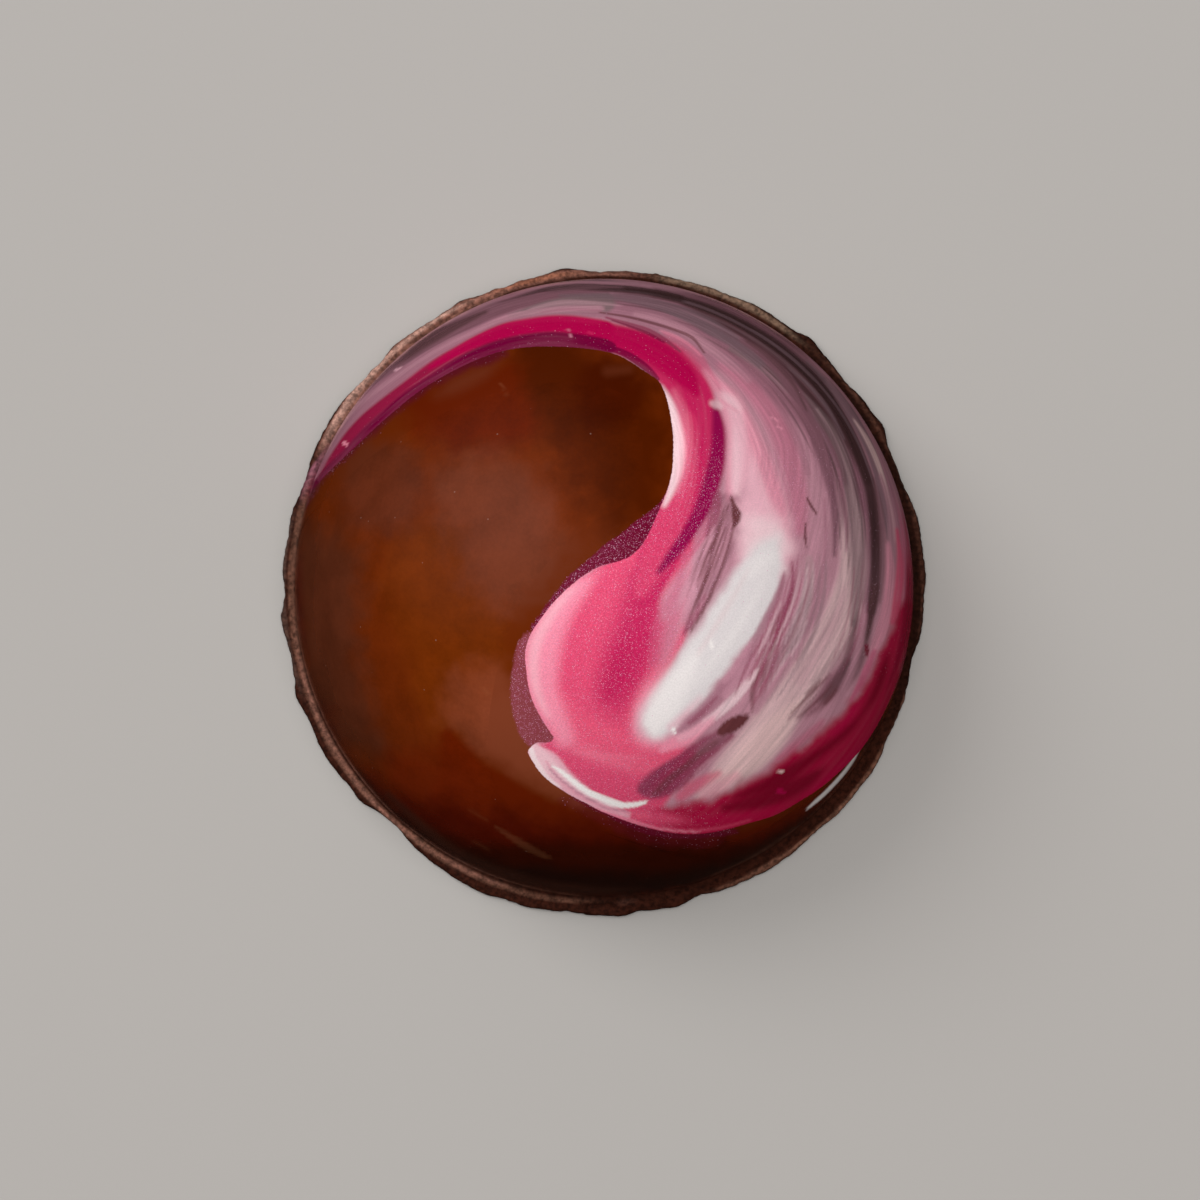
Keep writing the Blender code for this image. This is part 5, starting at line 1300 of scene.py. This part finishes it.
def coat_material():
    """Brushed cocoa butter: the brush's fine streaks, pearl flakes, a crisp edge, and the same gloss as the chocolate."""
    n = Nodes("cocoa_butter")
    place = n.place()
    flow = n.attribute("flow", "Vector")
    edge = n.attribute("edge")
    nibble = n.noise(place, 9.0, 2.0, 0.5)
    edge = n.math("ADD", edge, n.ramp(nibble, 0.3, 0.7, -0.012, 0.012, "LINEAR"))
    inside = n.ramp(edge, -0.022, 0.022)

    # the brush's streaks, long along the stroke and fine across it
    fine = n.noise(n.vector("MULTIPLY", flow, (0.28, 8.5, 1.0)), 1.0, 3.0, 0.6)
    broad = n.noise(n.vector("MULTIPLY", flow, (0.10, 2.6, 1.0)), 1.0, 2.0, 0.5)
    streak = n.math("ADD", n.ramp(fine, 0.25, 0.75, -0.17, 0.17, "LINEAR"), n.ramp(broad, 0.25, 0.75, -0.10, 0.10, "LINEAR"))
    amount = n.attribute("streak")
    streak = n.math("ADD", n.math("MULTIPLY", streak, amount), 1.0)
    # fine speckle of the pigment
    speckle = n.noise(place, 15.0, 2.0, 0.7)
    mottle = n.math("ADD", n.ramp(speckle, 0.3, 0.7, 0.92, 1.08, "LINEAR"), n.math("MULTIPLY", n.ramp(speckle, 0.3, 0.7, -0.14, 0.14, "LINEAR"), n.attribute("glitter")))
    tint = n.mix(1.0, n.attribute("tint", "Color"), n.combine(n.math("MULTIPLY", streak, mottle)), "MULTIPLY")
    below = n.attribute("below", "Color")

    # pearl flakes: pale specks, with their sparkle painted into the colour
    flakes = n.cells(place, 20.0)
    pick = n.split(flakes.outputs["Color"])
    density = n.attribute("glitter")
    chosen = n.math("GREATER_THAN", pick[0], n.math("SUBTRACT", 1.0, density))
    spot = n.ramp(flakes.outputs["Distance"], 0.15, 0.45, 1.0, 0.0)
    bright = n.math("POWER", pick[1], 2.5)
    shine = n.math("MULTIPLY", n.math("MULTIPLY", chosen, spot), n.math("ADD", n.math("MULTIPLY", bright, 0.95), 0.20))
    flake = n.mix(pick[2], (0.66, 0.16, 0.42), (0.86, 0.56, 0.72))
    colour = n.mix(inside, below, tint)
    colour = n.mix(shine, colour, flake)
    n.put(n.shader.inputs["Base Color"], colour)
    rough = n.ramp(fine, 0.3, 0.7, 0.17, 0.24)
    n.put(n.shader.inputs["Roughness"], rough)
    n.shader.inputs["Specular IOR Level"].default_value = GLOSS_LEVEL
    return n.material


# ------------------------------------------------------------------ floor, lights, camera
KEY_POWER = 2.08
TOP_POWER = 5.85
STUDIO_DIM = (0.016, 0.008, 0.006, 1.0)
STUDIO_BRIGHT = (0.50, 0.492, 0.485, 1.0)


def build_stage():
    size = 1.6
    mesh = bpy.data.meshes.new("floor")
    mesh.from_pydata([(-size, -size, 0), (size, -size, 0), (size, size, 0), (-size, size, 0)], [], [(0, 1, 2, 3)])
    floor = bpy.data.objects.new("floor", mesh)
    bpy.context.scene.collection.objects.link(floor)
    material = bpy.data.materials.new("floor")
    material.use_nodes = True
    shader = material.node_tree.nodes["Principled BSDF"]
    shader.inputs["Base Color"].default_value = (0.42, 0.405, 0.39, 1.0)
    shader.inputs["Roughness"].default_value = 0.85
    shader.inputs["Specular IOR Level"].default_value = 0.2
    floor.data.materials.append(material)
    floor.visible_glossy = False      # like the dark slab that it stands on, the floor adds no glare to the dome's sides


def add_light(name, place, target, size, power, colour=(1.0, 1.0, 1.0)):
    data = bpy.data.lights.new(name, "AREA")
    data.shape = "DISK"
    data.size = size
    data.energy = power
    data.color = colour
    light = bpy.data.objects.new(name, data)
    bpy.context.scene.collection.objects.link(light)
    light.location = place
    light.rotation_euler = (Vector(target) - Vector(place)).to_track_quat("-Z", "Y").to_euler()
    return light


def build_light():
    """A large soft key from the left and back, a weaker one from above, and a studio that is brighter on the key's side."""
    key = add_light("key", (-0.42, 0.32, 0.54), (0, 0, 0.005), 0.42, KEY_POWER, (1.0, 0.985, 0.965))
    top = add_light("top", (0.02, 0.03, 0.85), (0, 0, 0.005), 0.60, TOP_POWER, (1.0, 0.985, 0.97))
    for light in (key, top):
        light.visible_glossy = False      # the gloss shows the studio's soft gradient, and no round lamp
    world = bpy.data.worlds.new("studio")
    bpy.context.scene.world = world
    world.use_nodes = True
    nodes, links = world.node_tree.nodes, world.node_tree.links
    place = nodes.new("ShaderNodeTexCoord")
    facing = nodes.new("ShaderNodeVectorMath")
    facing.operation = "DOT_PRODUCT"
    facing.inputs[1].default_value = Vector((-0.62, 0.46, 0.63)).normalized()
    ramp = nodes.new("ShaderNodeMapRange")
    ramp.interpolation_type = "SMOOTHERSTEP"
    ramp.inputs["From Min"].default_value = 0.50
    ramp.inputs["From Max"].default_value = 1.0
    links.new(place.outputs["Generated"], facing.inputs[0])
    links.new(facing.outputs["Value"], ramp.inputs["Value"])
    blend = nodes.new("ShaderNodeMix")
    blend.data_type = "RGBA"
    links.new(ramp.outputs["Result"], blend.inputs["Factor"])
    [s for s in blend.inputs if s.name == "A" and s.type == "RGBA"][0].default_value = STUDIO_DIM
    [s for s in blend.inputs if s.name == "B" and s.type == "RGBA"][0].default_value = STUDIO_BRIGHT
    links.new([s for s in blend.outputs if s.type == "RGBA"][0], nodes["Background"].inputs["Color"])


def build_camera():
    """Straight down from 300 mm, with the praline framed a little right of and above the middle."""
    data = bpy.data.cameras.new("camera")
    data.sensor_width = 36.0
    data.lens = 197.9
    data.clip_start = 0.01
    data.clip_end = 10.0
    camera = bpy.data.objects.new("camera", data)
    bpy.context.scene.collection.objects.link(camera)
    scale = 14.0 / 309.0 * 1e-3          # metres on the dome's widest ring for each 1/1200 of the frame
    camera.location = (AXIS[0] - 4.0 * scale, AXIS[1] - 12.0 * scale, 0.300)
    camera.rotation_euler = (0.0, 0.0, 0.0)
    bpy.context.scene.camera = camera
    bpy.context.scene.view_settings.view_transform = "Standard"
    bpy.context.scene.view_settings.look = "None"


# ------------------------------------------------------------------ everything together
def rgba(colour):
    return np.concatenate([np.clip(colour, 0.0, 1.0), np.ones((len(colour), 1))], axis=1)


def glitter_density(place, result):
    """How many of the pearl flakes show: most in the purple glaze, many in the rose and magenta."""
    tint = result["tint"]
    red = np.clip((tint[:, 0] - tint[:, 1]) / np.maximum(tint[:, 0], 0.02), 0.0, 1.0)      # 1 in the full pinks
    opaque = smooth(-0.03, 0.03, result["edge"])
    lower = smooth(-3.4, -4.4, place[:, 1]) * smooth(1.0, 6.0, place[:, 0])                # fewer in the front's crimson
    back = 0.95 * smooth(4.6, 7.2, place[:, 1])                                             # and in the back's stripes
    inside_density = (0.04 + 0.70 * smooth(0.45, 0.85, red)) * (1.0 - lower) * (1.0 - back)
    inside_density = inside_density * (1.0 - 0.95 * smooth(11.4, 12.9, np.hypot(place[:, 0], place[:, 1])))
    fade = np.clip(result["glaze"], 0.0, 1.0) * (1.0 - 0.7 * smooth(-8.4, -10.2, place[:, 1]))
    return opaque * inside_density + (1.0 - opaque) * fade * 0.90 * (1.0 - back)


def streak_amount(place, result):
    tint = result["tint"]
    red = np.clip((tint[:, 0] - tint[:, 1]) / np.maximum(tint[:, 0], 0.02), 0.0, 1.0)
    white = smooth(0.60, 0.80, tint[:, 1])
    calm = smooth(-0.5, 0.3, ring_distance(place, spline(CALM, 160, closed=True)))
    return np.clip(1.0 - 0.75 * smooth(0.55, 0.9, red) - 0.8 * white, 0.08, 1.0) * (1.0 - 0.85 * calm)


def main():
    points, faces, foot = build_body()
    body = make_object("praline_body", points, faces)
    plan = (points[:, :2] - AXIS) * 1e3
    share = smooth(0.0, 0.5, foot)[:, None]
    below = chocolate_colour(plan, plan)
    at = np.nonzero(foot > 0.0)[0]
    below[at] = below[at] * (1.0 - share[at]) + foot_colour(plan[at]) * share[at]
    store(body, "below", rgba(below), "FLOAT_COLOR")
    store(body, "foot", foot)
    store(body, "under", smooth(0.00030, 0.00004, points[:, 2]))
    body.data.materials.append(chocolate_material())

    points, faces, normals, plan, flow = build_coat()
    coat = make_object("cocoa_butter", points, faces, normals)
    result = paint(plan, flow)
    store(coat, "below", rgba(result["below"]), "FLOAT_COLOR")
    store(coat, "tint", rgba(result["tint"]), "FLOAT_COLOR")
    store(coat, "edge", np.clip(result["edge"], -1.0, 1.0))
    store(coat, "glitter", glitter_density(plan, result))
    store(coat, "streak", streak_amount(plan, result))
    store(coat, "flow", np.concatenate([flow, np.zeros((len(flow), 1))], axis=1), "FLOAT_VECTOR")
    coat.data.materials.append(coat_material())

    build_stage()
    build_light()
    build_camera()
    for piece in (body, coat):
        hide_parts("praline")
        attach(piece, "root")


main()
